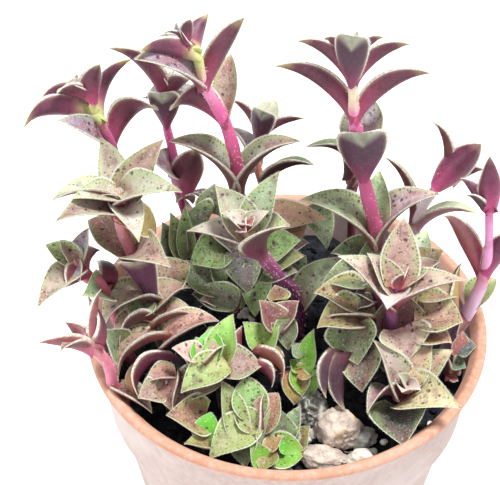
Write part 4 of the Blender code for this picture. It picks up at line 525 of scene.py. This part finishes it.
def put(t, kind, **sockets):
    node = t.nodes.new(kind)
    for key, value in sockets.items():
        target = node.inputs[key.replace("_", " ")] if key.replace("_", " ") in node.inputs else None
        if target is None:
            setattr(node, key, value)
        elif hasattr(value, "is_output"):
            t.links.new(value, target)
        else:
            target.default_value = value
    return node


def math_node(t, op, a, b=None, c=None, clamp=False):
    node = t.nodes.new("ShaderNodeMath")
    node.operation = op
    node.use_clamp = clamp
    for i, x in enumerate((a, b, c)):
        if x is None:
            continue
        if hasattr(x, "is_output"):
            t.links.new(x, node.inputs[i])
        else:
            node.inputs[i].default_value = x
    return node.outputs[0]


def mix(t, amount, a, b, blend="MIX"):
    node = t.nodes.new("ShaderNodeMix")
    node.data_type = "RGBA"
    node.blend_type = blend
    for key, x in ((0, amount), (6, a), (7, b)):
        if hasattr(x, "is_output"):
            t.links.new(x, node.inputs[key])
        elif key == 0:
            node.inputs[key].default_value = x
        else:
            node.inputs[key].default_value = (*x, 1.0)
    return node.outputs[2]


def band(t, value, low, high, out_low=0.0, out_high=1.0):
    node = t.nodes.new("ShaderNodeMapRange")
    node.interpolation_type = "SMOOTHSTEP"
    t.links.new(value, node.inputs["Value"])
    node.inputs["From Min"].default_value = low
    node.inputs["From Max"].default_value = high
    node.inputs["To Min"].default_value = out_low
    node.inputs["To Max"].default_value = out_high
    return node.outputs["Result"]


def noise_of(t, coords, scale, detail=3.0, rough=0.55):
    node = put(t, "ShaderNodeTexNoise", Scale=scale, Detail=detail, Roughness=rough)
    t.links.new(coords, node.inputs["Vector"])
    return node


def leaf_skin():
    m, t, skin = tree_of("leaf_skin")
    tone = put(t, "ShaderNodeAttribute", attribute_name="tone").outputs["Color"]
    place = put(t, "ShaderNodeSeparateXYZ")
    t.links.new(put(t, "ShaderNodeAttribute", attribute_name="place").outputs["Vector"], place.inputs[0])
    marks = put(t, "ShaderNodeSeparateXYZ")
    t.links.new(put(t, "ShaderNodeAttribute", attribute_name="marks").outputs["Vector"], marks.inputs[0])
    reach, across, upper = place.outputs[0], place.outputs[1], place.outputs[2]
    spots, arc, warm = marks.outputs[0], marks.outputs[1], marks.outputs[2]
    coords = put(t, "ShaderNodeTexCoord").outputs["Object"]
    blotch = noise_of(t, coords, 150.0, 3.0).outputs["Fac"]
    mottle = noise_of(t, coords, 430.0, 5.0, 0.62).outputs["Fac"]
    grain = noise_of(t, coords, 2400.0, 3.0, 0.6).outputs["Fac"]
    lower = math_node(t, "SUBTRACT", 1.0, upper)
    inner = band(t, across, 0.9, 0.35)
    shady = math_node(t, "MINIMUM", spots, 1.0)
    # The upper face: green towards the edges, brown and pink blotches down the middle
    edge = math_node(t, "MULTIPLY", math_node(t, "MULTIPLY", band(t, across, 0.45, 0.9), upper), shady)
    colour = mix(t, math_node(t, "MULTIPLY", edge, 0.42), tone, (0.38, 0.52, 0.17))
    flush = math_node(t, "MULTIPLY", math_node(t, "MULTIPLY", band(t, blotch, 0.42, 0.6), upper), math_node(t, "MULTIPLY", shady, warm))
    colour = mix(t, math_node(t, "MULTIPLY", math_node(t, "MULTIPLY", flush, inner), 0.6), colour, (0.32, 0.125, 0.12))
    stain = math_node(t, "MULTIPLY", math_node(t, "MULTIPLY", band(t, mottle, 0.5, 0.64), inner), math_node(t, "MULTIPLY", upper, shady))
    colour = mix(t, math_node(t, "MULTIPLY", stain, 0.5), colour, (0.13, 0.05, 0.055))
    # The underside: a paler band inside the edge
    hem = math_node(t, "MULTIPLY", band(t, across, 0.78, 1.0), lower)
    colour = mix(t, math_node(t, "MULTIPLY", hem, 0.45), colour, (0.5, 0.4, 0.24))
    colour = mix(t, math_node(t, "MULTIPLY", math_node(t, "MULTIPLY", band(t, mottle, 0.48, 0.66), lower), 0.3), colour, (0.05, 0.012, 0.03))
    colour = mix(t, band(t, mottle, 0.4, 0.7, 0.0, 0.22), colour, (0.6, 0.6, 0.58), "MULTIPLY")
    # Scattered dark spots and a row of dots inside the edge
    shake = noise_of(t, coords, 900.0, 2.0)
    moved = put(t, "ShaderNodeVectorMath", operation="MULTIPLY_ADD")
    t.links.new(shake.outputs["Color"], moved.inputs[0])
    moved.inputs[1].default_value = (0.0007, 0.0007, 0.0007)
    t.links.new(coords, moved.inputs[2])
    spot = None
    for scale, share, least, most in ((640.0, 0.3, 0.1, 0.2), (1300.0, 0.5, 0.14, 0.22)):
        cells = put(t, "ShaderNodeTexVoronoi", Scale=scale)
        t.links.new(moved.outputs[0], cells.inputs["Vector"])
        pick = put(t, "ShaderNodeSeparateColor")
        t.links.new(cells.outputs["Color"], pick.inputs[0])
        few = math_node(t, "LESS_THAN", pick.outputs[0], math_node(t, "MULTIPLY", spots, share))
        size = math_node(t, "MULTIPLY_ADD", pick.outputs[1], most, least)
        dot = math_node(t, "MULTIPLY", band(t, math_node(t, "SUBTRACT", cells.outputs["Distance"], size), 0.1, -0.06), few)
        spot = dot if spot is None else math_node(t, "MAXIMUM", spot, math_node(t, "MULTIPLY", dot, 0.8))
    beat = math_node(t, "SINE", math_node(t, "MULTIPLY", arc, 7.6))
    near = math_node(t, "ABSOLUTE", math_node(t, "SUBTRACT", across, 0.87))
    row = math_node(t, "MULTIPLY", band(t, beat, 0.1, 0.7), band(t, near, 0.055, 0.015))
    row = math_node(t, "MULTIPLY", row, math_node(t, "MULTIPLY", shady, band(t, blotch, 0.36, 0.5)))
    spot = math_node(t, "MULTIPLY", math_node(t, "MAXIMUM", spot, math_node(t, "MULTIPLY", row, 0.8)), upper)
    colour = mix(t, math_node(t, "MULTIPLY", spot, 0.88), colour, (0.04, 0.012, 0.02))
    # Fine pale grains, and the pale broken rim
    colour = mix(t, math_node(t, "MULTIPLY", band(t, grain, 0.54, 0.7), math_node(t, "MULTIPLY_ADD", upper, 0.34, 0.05)), colour, (0.84, 0.81, 0.76))
    rim = math_node(t, "MULTIPLY", band(t, across, 0.905, 0.97), band(t, reach, 0.03, 0.12))
    rim = math_node(t, "MULTIPLY", rim, band(t, grain, 0.4, 0.56, 0.35, 0.85))
    colour = mix(t, rim, colour, (0.88, 0.86, 0.79))
    t.links.new(colour, skin.inputs["Base Color"])
    rough = math_node(t, "MULTIPLY_ADD", upper, 0.12, 0.38)
    t.links.new(math_node(t, "MULTIPLY_ADD", grain, 0.14, rough), skin.inputs["Roughness"])
    skin.inputs["Subsurface Weight"].default_value = 0.1
    skin.inputs["Subsurface Radius"].default_value = (1.0, 0.55, 0.3)
    skin.inputs["Subsurface Scale"].default_value = 0.001
    skin.inputs["Specular IOR Level"].default_value = 0.45
    bump = put(t, "ShaderNodeBump", Strength=0.55, Distance=0.00018)
    t.links.new(math_node(t, "ADD", grain, math_node(t, "MULTIPLY", mottle, 1.2)), bump.inputs["Height"])
    t.links.new(bump.outputs[0], skin.inputs["Normal"])
    return m


def hair_skin():
    m, t, skin = tree_of("pale_hair")
    coords = put(t, "ShaderNodeTexCoord").outputs["Object"]
    n = noise_of(t, coords, 900.0, 2.0).outputs["Fac"]
    t.links.new(mix(t, n, (0.82, 0.78, 0.72), (0.92, 0.9, 0.86)), skin.inputs["Base Color"])
    t.links.new(band(t, n, 0.2, 0.8, 0.5, 0.7), skin.inputs["Roughness"])
    return m


def stem_skin():
    m, t, skin = tree_of("stem_skin")
    tone = put(t, "ShaderNodeAttribute", attribute_name="tone").outputs["Color"]
    coords = put(t, "ShaderNodeTexCoord").outputs["Object"]
    stretch = put(t, "ShaderNodeMapping", Scale=(1.0, 1.0, 0.35))
    t.links.new(coords, stretch.inputs["Vector"])
    streak = noise_of(t, stretch.outputs[0], 900.0, 4.0).outputs["Fac"]
    blotch = noise_of(t, coords, 260.0, 3.0).outputs["Fac"]
    colour = mix(t, band(t, streak, 0.4, 0.7, 0.0, 0.5), tone, (0.95, 0.75, 0.78), "SOFT_LIGHT")
    colour = mix(t, band(t, blotch, 0.5, 0.7, 0.0, 0.35), colour, (0.3, 0.08, 0.12), "MIX")
    t.links.new(colour, skin.inputs["Base Color"])
    t.links.new(band(t, streak, 0.2, 0.8, 0.36, 0.6), skin.inputs["Roughness"])
    skin.inputs["Subsurface Weight"].default_value = 0.15
    skin.inputs["Subsurface Radius"].default_value = (1.0, 0.4, 0.4)
    skin.inputs["Subsurface Scale"].default_value = 0.0012
    bump = put(t, "ShaderNodeBump", Strength=0.5, Distance=0.0002)
    t.links.new(streak, bump.inputs["Height"])
    t.links.new(bump.outputs[0], skin.inputs["Normal"])
    return m


def clay_skin():
    m, t, skin = tree_of("pot_clay")
    coords = put(t, "ShaderNodeTexCoord").outputs["Object"]
    xyz = put(t, "ShaderNodeSeparateXYZ")
    t.links.new(coords, xyz.inputs[0])
    height = xyz.outputs[2]
    cloud = noise_of(t, coords, 38.0, 5.0, 0.6).outputs["Fac"]
    fine = noise_of(t, coords, 700.0, 4.0, 0.6).outputs["Fac"]
    speck = noise_of(t, coords, 2400.0, 2.0, 0.6).outputs["Fac"]
    wall = mix(t, band(t, cloud, 0.35, 0.65), (0.47, 0.36, 0.335), (0.6, 0.515, 0.495))
    lip = mix(t, band(t, cloud, 0.3, 0.7), (0.56, 0.27, 0.17), (0.64, 0.36, 0.26))
    colour = mix(t, band(t, height, 0.0776, 0.0781), wall, lip)
    line = math_node(t, "MULTIPLY", band(t, height, 0.0772, 0.0777), band(t, height, 0.0785, 0.0780))
    colour = mix(t, math_node(t, "MULTIPLY", line, 0.5), colour, (0.72, 0.58, 0.5))
    colour = mix(t, band(t, fine, 0.35, 0.75, 0.0, 0.35), colour, (0.72, 0.62, 0.57))
    colour = mix(t, band(t, speck, 0.62, 0.75, 0.0, 0.35), colour, (0.4, 0.24, 0.18))
    t.links.new(colour, skin.inputs["Base Color"])
    t.links.new(band(t, fine, 0.2, 0.8, 0.72, 0.92), skin.inputs["Roughness"])
    skin.inputs["Specular IOR Level"].default_value = 0.3
    bump = put(t, "ShaderNodeBump", Strength=0.35, Distance=0.0002)
    t.links.new(math_node(t, "ADD", fine, speck), bump.inputs["Height"])
    t.links.new(bump.outputs[0], skin.inputs["Normal"])
    return m


def earth_skin():
    m, t, skin = tree_of("soil_dark")
    coords = put(t, "ShaderNodeTexCoord").outputs["Object"]
    a = noise_of(t, coords, 420.0, 5.0, 0.65).outputs["Fac"]
    b = noise_of(t, coords, 1700.0, 4.0, 0.6).outputs["Fac"]
    colour = mix(t, band(t, a, 0.4, 0.68), (0.006, 0.0075, 0.010), (0.027, 0.031, 0.037))
    colour = mix(t, band(t, b, 0.6, 0.74, 0.0, 0.5), colour, (0.14, 0.125, 0.11))
    t.links.new(colour, skin.inputs["Base Color"])
    t.links.new(band(t, b, 0.3, 0.7, 0.95, 0.7), skin.inputs["Roughness"])
    skin.inputs["Specular IOR Level"].default_value = 0.2
    bump = put(t, "ShaderNodeBump", Strength=0.9, Distance=0.0006)
    t.links.new(math_node(t, "ADD", a, math_node(t, "MULTIPLY", b, 0.5)), bump.inputs["Height"])
    t.links.new(bump.outputs[0], skin.inputs["Normal"])
    return m


def stone_skin(name, light, dark, stain, stain_share):
    m, t, skin = tree_of(name)
    coords = put(t, "ShaderNodeTexCoord").outputs["Object"]
    a = noise_of(t, coords, 240.0, 5.0, 0.62).outputs["Fac"]
    b = noise_of(t, coords, 1200.0, 4.0, 0.6).outputs["Fac"]
    c = noise_of(t, coords, 120.0, 3.0, 0.5).outputs["Fac"]
    colour = mix(t, band(t, a, 0.36, 0.64), dark, light)
    colour = mix(t, band(t, c, 0.6 - stain_share * 0.2, 0.72, 0.0, 0.8), colour, stain)
    colour = mix(t, band(t, b, 0.6, 0.75, 0.0, 0.6), colour, tuple(x * 0.25 for x in dark))
    t.links.new(colour, skin.inputs["Base Color"])
    t.links.new(band(t, b, 0.3, 0.7, 0.9, 0.65), skin.inputs["Roughness"])
    bump = put(t, "ShaderNodeBump", Strength=0.9, Distance=0.0009)
    t.links.new(math_node(t, "ADD", a, math_node(t, "MULTIPLY", b, 0.7)), bump.inputs["Height"])
    t.links.new(bump.outputs[0], skin.inputs["Normal"])
    return m


def bark_skin():
    m, t, skin = tree_of("bark_layers")
    coords = put(t, "ShaderNodeTexCoord").outputs["Object"]
    drawn = put(t, "ShaderNodeMapping")
    drawn.inputs["Rotation"].default_value = (0.5, 0.4, 0.6)
    drawn.inputs["Scale"].default_value = (1.0, 0.16, 0.7)
    t.links.new(coords, drawn.inputs["Vector"])
    layers = noise_of(t, drawn.outputs["Vector"], 900.0, 5.0, 0.65).outputs["Fac"]
    broad = noise_of(t, coords, 260.0, 4.0, 0.6).outputs["Fac"]
    fine = noise_of(t, coords, 1900.0, 3.0, 0.6).outputs["Fac"]
    colour = mix(t, band(t, broad, 0.36, 0.62), (0.14, 0.14, 0.13), (0.36, 0.35, 0.31))
    colour = mix(t, band(t, layers, 0.5, 0.6, 0.0, 0.8), colour, (0.62, 0.6, 0.55))
    colour = mix(t, band(t, layers, 0.42, 0.33, 0.0, 0.8), colour, (0.03, 0.03, 0.027))
    colour = mix(t, band(t, fine, 0.6, 0.75, 0.0, 0.4), colour, (0.3, 0.26, 0.14))
    t.links.new(colour, skin.inputs["Base Color"])
    t.links.new(band(t, fine, 0.3, 0.7, 0.95, 0.75), skin.inputs["Roughness"])
    skin.inputs["Specular IOR Level"].default_value = 0.2
    bump = put(t, "ShaderNodeBump", Strength=1.0, Distance=0.0008)
    t.links.new(math_node(t, "ADD", layers, broad), bump.inputs["Height"])
    t.links.new(bump.outputs[0], skin.inputs["Normal"])
    return m


LEAF, HAIR, STEM, CLAY, EARTH = leaf_skin(), hair_skin(), stem_skin(), clay_skin(), earth_skin()


def settle(obj, slot, *nodes):
    """The piece rides with the plant and stands for its nodes, which are hidden; the slot is not used."""
    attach(obj, "root")
    if nodes:
        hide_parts(*nodes)


# Stem colours from the soil up, and how hairy each stem is
STEM_TONES = {
    "a": (((0, (150, 80, 90)), (1, (190, 80, 120)), (2.4, (196, 96, 136)), (3, (200, 160, 130)), (3.3, (206, 206, 130)), (5, (206, 200, 130))), 60),
    "b": (((0, (150, 100, 90)), (1.5, (176, 110, 110)), (3, (190, 130, 130)), (5, (210, 190, 130))), 50),
    "c": (((0, (150, 70, 90)), (1, (180, 70, 116)), (2, (194, 78, 130)), (2.8, (196, 84, 132)), (4, (190, 110, 120)), (5, (200, 190, 130))), 40),
    "d": (((0, (150, 60, 86)), (1.5, (186, 76, 108)), (3, (192, 80, 118)), (4.3, (206, 92, 138)), (5, (220, 150, 172)), (5.7, (206, 206, 130)), (7, (206, 210, 120))), 300),
    "e": (((0, (170, 100, 80)), (2, (206, 130, 110)), (3, (190, 110, 120)), (4, (190, 180, 130))), 40),
    "f": (((0, (130, 60, 90)), (1.5, (186, 88, 120)), (3, (196, 88, 132)), (3.8, (224, 120, 168)), (5.0, (224, 124, 160)), (5.35, (223, 210, 170)), (8, (223, 219, 177))), 300),
    "g": (((0, (110, 60, 66)), (3, (150, 90, 90))), 20),
    # h: the near-white stops up the middle are partly the stem's own pale pink and partly a painted highlight for the
    # strong light from the right
    "h": (((0, (206, 150, 150)), (0.7, (250, 226, 226)), (1.8, (253, 238, 236)), (2.1, (236, 160, 180)), (3, (206, 110, 140))), 30),
    "i": (((0, (226, 176, 200)), (1, (236, 200, 220)), (2, (214, 130, 150)), (2.3, (226, 160, 190)), (3.4, (216, 140, 180)), (4, (190, 90, 130))), 10),
    "r": (((0, (190, 110, 120)), (2, (214, 120, 130)), (4, (200, 140, 120))), 40),
    "s": (((0, (186, 104, 121)), (2, (206, 120, 136)), (4, (200, 150, 130))), 60),
    "u": (((0, (84, 40, 66)), (1, (116, 54, 92)), (2, (150, 78, 118)), (3, (160, 84, 120)), (5, (206, 190, 140))), 520),
}

shoots = {**SHOOTS, **COLUMNS}
for name, shoot in shoots.items():
    axis = [point(p) for p in shoot["axis"]]
    if axis[0][2] < SOIL_TOP + 2:
        axis[0] = np.array([axis[0][0], axis[0][1], SOIL_TOP - 1.0])
    top = len(axis) - 1
    line = smooth_line(axis)
    ks = np.linspace(0, top, len(line))
    radii = np.interp(ks, range(top + 1), shoot["rad"])
    dice = random.Random(name)
    if name not in NO_STEM:
        stops, hairs = STEM_TONES[name]
        spots = [k for k, _ in stops]
        paints = np.array([1.1 * lin(c) for _, c in stops])
        tones = [np.array([np.interp(k, spots, paints[:, i]) for i in range(3)]) for k in ks]
        stem = Pile()
        narrow = 0.3 if name == "i" else 0.8
        bulge = [r * (1 + 0.05 * math.sin(i * 1.3)) * (1 if k < top - narrow else 0.08 + 0.92 * (top - k) / narrow) for i, (r, k) in enumerate(zip(radii, ks))]
        add_tube(stem, line, bulge, tones)
        stem_hairs(stem, line, radii, hairs, 0.75, dice)
        settle(stem.build(f"shoot_{name}", [STEM, HAIR]), "stem", f"stem_{name}")
    for group, rows in shoot["groups"].items():
        pile = Pile()
        if name in NO_STEM:
            bare = name == "k"
            add_tube(pile, line, list(radii * (1.0 if bare else 0.6) * (1.02 - (ks / top) ** 3)), [lin((158, 92, 130) if bare else (90, 84, 60))] * len(line), 14 if bare else 10)
        for number, row in enumerate(rows):
            row, more = (row[:-1], row[-1]) if isinstance(row[-1], dict) else (row, {})
            dice = random.Random(f"{group} {number}")
            if len(row) == 6:
                where, tip, width, arch, turn, kind = row
                k = nearest(axis, point(where)) if isinstance(where, tuple) else where
                start = point(where) if isinstance(where, tuple) else along(axis, k)
                tip = point(tip)
            else:
                k, px, py, length, near, width, arch, turn, kind = row
                start = along(axis, k)
                tip = tip_at(start, px, py, length, near)
            direction = unit(along(axis, min(top, k + 0.3)) - along(axis, max(0, k - 0.3)))
            options = dict(strap=name in "acdefghi", hook=name in COLUMNS)
            if name not in NO_STEM:
                options["grip"] = 0.8 * along(list(shoot["rad"]), min(k, top - 0.001))
            options.update(more)
            add_leaf(pile, start, tip, leaf_frame(start, tip, direction, turn), width, arch, kind, dice, **options)
        settle(pile.build(f"foliage_{group}", [LEAF, HAIR]), "leaf", f"leaves_{group}")


# The pot, turned, with its worn lip
def turned(name, profile, steps, material):
    rings = []
    faces = []
    for i in range(steps):
        a = 2 * math.pi * i / steps
        for r, z in profile:
            wob = 1 + 0.0006 * math.sin(3 * a + 1) + 0.0004 * math.sin(7 * a)
            rings.append((r * wob * math.cos(a) / 1000, r * wob * math.sin(a) / 1000, z / 1000))
    k = len(profile)
    for i in range(steps):
        for j in range(k - 1):
            a, b = i * k + j, ((i + 1) % steps) * k + j
            faces.append((a, a + 1, b + 1, b))
    mesh = bpy.data.meshes.new(name)
    mesh.from_pydata(rings, [], faces)
    work = bmesh.new()
    work.from_mesh(mesh)
    bmesh.ops.remove_doubles(work, verts=work.verts, dist=1e-6)
    bmesh.ops.recalc_face_normals(work, faces=work.faces)
    work.to_mesh(mesh)
    work.free()
    mesh.polygons.foreach_set("use_smooth", [True] * len(mesh.polygons))
    mesh.materials.append(material)
    obj = bpy.data.objects.new(name, mesh)
    bpy.context.scene.collection.objects.link(obj)
    return obj


def rounded(profile, reach=0.35, steps=3):
    """The profile with each corner cut round."""
    out = [profile[0]]
    for i in range(1, len(profile) - 1):
        a, b, c = (np.array(profile[x], float) for x in (i - 1, i, i + 1))
        ra = min(reach, np.linalg.norm(a - b) * 0.45)
        rc = min(reach, np.linalg.norm(c - b) * 0.45)
        p, q = b + unit(a - b) * ra, b + unit(c - b) * rc
        for j in range(steps + 1):
            t = j / steps
            out.append(tuple((1 - t) ** 2 * p + 2 * t * (1 - t) * b + t * t * q))
    out.append(profile[-1])
    return out


PROFILE = [(0, 2.6), (28.0, 2.6), (37.8, 58.2), (39.8, 62.2), (41.4, 78.0), (42.8, 79.7), (43.3, 80.0), (44.5, 80.0), (45.0, 79.5), (45.0, 78.7),
           (44.5, 78.3), (42.9, 78.0), (41.2, 60.6), (40.8, 60.2), (39.2, 59.6), (29.6, 0.8), (28.7, 0), (0, 0)]
pot = turned("clay_pot", rounded(PROFILE), 160, CLAY)
drains = []
for i in range(4):
    a = math.radians(45 + 90 * i)
    bpy.ops.mesh.primitive_cylinder_add(vertices=24, radius=0.0025, depth=0.02, location=(0.015 * math.cos(a), 0.015 * math.sin(a), 0.0))
    drains.append(bpy.context.object)
for cutter in drains:
    modifier = pot.modifiers.new("drain", "BOOLEAN")
    modifier.operation = "DIFFERENCE"
    modifier.object = cutter
    modifier.solver = "EXACT"
bpy.context.view_layer.update()
mesh = bpy.data.meshes.new_from_object(pot.evaluated_get(bpy.context.evaluated_depsgraph_get()))
pot.modifiers.clear()
pot.data = mesh
for cutter in drains:
    bpy.data.objects.remove(cutter)
settle(pot, "clay", "pot")


# The soil: a lumpy top over a plain plug
def ground(x, y):
    p = Vector((x * 0.16, y * 0.16, 3.1))
    q = Vector((x * 0.55, y * 0.55, 7.7))
    s = Vector((x * 1.6, y * 1.6, 1.7))
    return SOIL_TOP - 0.3 + 1.1 * noise.noise(p) + 0.8 * noise.noise(q) + 0.45 * noise.noise(s)


steps, rings = 150, 54
points, faces = [(0, 0, ground(0, 0))], []
for j in range(1, rings + 1):
    r = 40.5 * j / rings
    for i in range(steps):
        a = 2 * math.pi * i / steps
        x, y = r * math.cos(a), r * math.sin(a)
        points.append((x, y, ground(x, y) - 0.8 * (j / rings) ** 8))
for r, z in ((39.2, 61.0), (37.0, 57.0), (27.4, 3.1)):
    points += [(r * math.cos(2 * math.pi * i / steps), r * math.sin(2 * math.pi * i / steps), z) for i in range(steps)]
faces += [(0, 1 + i, 1 + (i + 1) % steps) for i in range(steps)]
for j in range(rings + 2):
    for i in range(steps):
        a, b = 1 + j * steps + i, 1 + j * steps + (i + 1) % steps
        faces.append((a, a + steps, b + steps, b))
faces.append(tuple(1 + (rings + 2) * steps + i for i in reversed(range(steps))))
mesh = bpy.data.meshes.new("earth")
mesh.from_pydata([(x / 1000, y / 1000, z / 1000) for x, y, z in points], [], faces)
mesh.polygons.foreach_set("use_smooth", [True] * len(faces))
mesh.materials.append(EARTH)
earth = bpy.data.objects.new("earth", mesh)
bpy.context.scene.collection.objects.link(earth)
settle(earth, "soil", "soil")


def rock(middle, half, turn, seed, level=4, planes=15, rough=0.08, flat=0.3):
    """Points and faces of a stone: a ball cut back by random planes, then roughened."""
    dice = random.Random(seed)
    cuts = []
    for _ in range(planes):
        v = Vector((dice.gauss(0, 1), dice.gauss(0, 1), dice.gauss(0, 1))).normalized()
        cuts.append((v, dice.uniform(0.72, 0.98)))
    work = bmesh.new()
    bmesh.ops.create_icosphere(work, subdivisions=level, radius=1.0)
    a = math.radians(turn)
    for v in work.verts:
        d = v.co.normalized()
        size = min([1.02] + [h / max(0.05, d.dot(c)) for c, h in cuts])
        size += rough * noise.fractal(d * 2.3 + Vector((seed, 0, 0)), 0.8, 2.0, 4)
        x, y, z = d.x * half[0] * size, d.y * half[1] * size, d.z * half[2] * size
        v.co = Vector((middle[0] + x * math.cos(a) - y * math.sin(a), middle[1] + x * math.sin(a) + y * math.cos(a), middle[2] + z)) / 1000
    return work


def place_rock(name, node, px, py, z, half, turn, seed, material, slot, **shape):
    work = rock(seen_on(px, py, z), half, turn, seed, **shape)
    mesh = bpy.data.meshes.new(name)
    work.to_mesh(mesh)
    work.free()
    mesh.polygons.foreach_set("use_smooth", [True] * len(mesh.polygons))
    mesh.materials.append(material)
    obj = bpy.data.objects.new(name, mesh)
    bpy.context.scene.collection.objects.link(obj)
    settle(obj, slot, *((node,) if node else ()))
    return obj


TAN = stone_skin("stone_tan_skin", (0.74, 0.63, 0.54), (0.46, 0.38, 0.33), (0.62, 0.38, 0.18), 0.12)
WHITE = stone_skin("stone_white_skin", (0.84, 0.82, 0.77), (0.6, 0.57, 0.5), (0.66, 0.58, 0.42), 0.08)
GREY = bark_skin()
place_rock("rock_tan", "stone_tan", 339, 428, 73.6, (5.0, 5.2, 4.0), 20, 3, TAN, "stone", level=5, planes=11, rough=0.13)
place_rock("rock_front", "stone_front", 325, 458, 72.6, (5.4, 3.0, 2.6), -6, 5, TAN, "stone", level=5, planes=12, rough=0.12)
place_rock("rock_white", "stone_white", 360, 459, 72.4, (3.5, 2.3, 2.2), 8, 7, WHITE, "stone")
place_rock("bark_lump", "bark_grey", 310, 410, 73.2, (4.0, 4.0, 3.4), 35, 11, GREY, "bark", level=5, planes=8, rough=0.24)
place_rock("rock_grey", "stone_grey", 364, 438, 72.4, (3.2, 2.6, 2.4), 60, 13, stone_skin("stone_grey_skin", (0.5, 0.5, 0.46), (0.22, 0.22, 0.21), (0.3, 0.26, 0.2), 0.2), "stone", rough=0.14)

# Crumbs, grit and fine roots in the top of the soil
dice = random.Random(41)
crumbs = bmesh.new()
for i in range(900):
    r, a = 39.0 * math.sqrt(dice.random()), dice.uniform(0, 6.283)
    x, y = r * math.cos(a), r * math.sin(a)
    size = dice.choice((0.3, 0.4, 0.5, 0.7, 0.9, 1.3))
    piece = rock((x, y, ground(x, y) + size * 0.2), (size, size * dice.uniform(0.6, 1), size * dice.uniform(0.5, 0.9)), dice.uniform(0, 360), i, level=2, planes=6, rough=0.2)
    mesh = bpy.data.meshes.new("crumb")
    piece.to_mesh(mesh)
    piece.free()
    crumbs.from_mesh(mesh)
    bpy.data.meshes.remove(mesh)
mesh = bpy.data.meshes.new("crumbs")
crumbs.to_mesh(mesh)
crumbs.free()
mesh.materials.append(EARTH)
piece = bpy.data.objects.new("soil_crumbs", mesh)
bpy.context.scene.collection.objects.link(piece)
settle(piece, "soil")

# Fine roots that lie on the soil
dice = random.Random(77)
roots = Pile()
for i in range(46):
    r, a = 36.0 * math.sqrt(dice.random()), dice.uniform(0, 6.283)
    x, y, way = r * math.cos(a), r * math.sin(a), dice.uniform(0, 6.283)
    line = []
    for j in range(dice.randint(5, 9)):
        line.append(np.array([x, y, ground(x, y) + dice.uniform(0.0, 0.5)]))
        way += dice.uniform(-0.7, 0.7)
        x, y = x + 0.9 * math.cos(way), y + 0.9 * math.sin(way)
        if math.hypot(x, y) > 38.0:
            break
    if len(line) > 2:
        tone = lin(dice.choice(((150, 134, 110), (190, 176, 150), (110, 92, 72))))
        add_tube(roots, np.array(line), [dice.uniform(0.07, 0.16)] * len(line), [tone] * len(line), 6)
settle(roots.build("soil_roots", [STEM, HAIR]), "soil")

# Pale grit
grit = bmesh.new()
for px, py, size in ((281, 469, 1.9), (288, 472, 1.3), (275, 471, 1.2), (312, 434, 1.5), (317, 428, 1.1), (308, 440, 1.0), (246, 313, 1.6), (252, 318, 1.1), (240, 316, 0.9), (322, 388, 0.8), (372, 452, 1.2), (384, 442, 0.9), (430, 424, 0.8), (170, 452, 0.8), (296, 345, 0.8)):
    piece = rock(seen_on(px, py, 71.4 + size * 0.3), (size, size * 0.85, size * 0.7), px, px + py, level=3, planes=9, rough=0.14)
    mesh = bpy.data.meshes.new("bit")
    piece.to_mesh(mesh)
    piece.free()
    grit.from_mesh(mesh)
    bpy.data.meshes.remove(mesh)
mesh = bpy.data.meshes.new("grit")
grit.to_mesh(mesh)
grit.free()
mesh.polygons.foreach_set("use_smooth", [True] * len(mesh.polygons))
mesh.materials.append(WHITE)
piece = bpy.data.objects.new("pale_grit", mesh)
bpy.context.scene.collection.objects.link(piece)
settle(piece, "stone")

# Stage: pale floor, soft light, the camera
bpy.ops.mesh.primitive_plane_add(size=6.0, location=(0, 0, -0.0002))
floor = bpy.context.object
floor.name = "stage_floor"
m, t, skin = tree_of("stage_white")
coords = put(t, "ShaderNodeTexCoord").outputs["Object"]
t.links.new(mix(t, noise_of(t, coords, 6.0).outputs["Fac"], (0.93, 0.93, 0.93), (0.96, 0.96, 0.96)), skin.inputs["Base Color"])
skin.inputs["Roughness"].default_value = 0.9
skin.inputs["Specular IOR Level"].default_value = 0.1
skin.inputs["Emission Color"].default_value = (1.0, 1.0, 1.0, 1.0)
skin.inputs["Emission Strength"].default_value = 0.35
floor.data.materials.append(m)

world = bpy.context.scene.world or bpy.data.worlds.new("world")
bpy.context.scene.world = world
world.use_nodes = True
world.node_tree.nodes["Background"].inputs["Color"].default_value = (1.0, 1.0, 1.0, 1.0)
world.node_tree.nodes["Background"].inputs["Strength"].default_value = 0.62


def lamp(name, place, aim, size, watts, colour=(1, 1, 1)):
    data = bpy.data.lights.new(name, "AREA")
    data.shape = "DISK"
    data.size = size
    data.energy = watts
    data.color = colour
    obj = bpy.data.objects.new(name, data)
    obj.location = place
    obj.rotation_euler = (Vector(aim) - Vector(place)).to_track_quat("-Z", "Y").to_euler()
    bpy.context.scene.collection.objects.link(obj)


lamp("key", (0.24, 0.02, 0.8), (0, 0, 0.1), 0.22, 7.4, (1.0, 0.99, 0.97))
lamp("side", (-0.5, -0.35, 0.35), (0, 0, 0.08), 0.3, 1.5)

camera = bpy.data.objects.new("camera", bpy.data.cameras.new("camera"))
camera.location = EYE / 1000
camera.rotation_euler = (math.pi / 2 - PITCH, 0, 0)
camera.data.sensor_width = 36.0
camera.data.lens = 36.0 * SCALE / 500
camera.data.clip_start = 0.01
bpy.context.scene.collection.objects.link(camera)
bpy.context.scene.camera = camera
bpy.context.scene.view_settings.view_transform = "Standard"
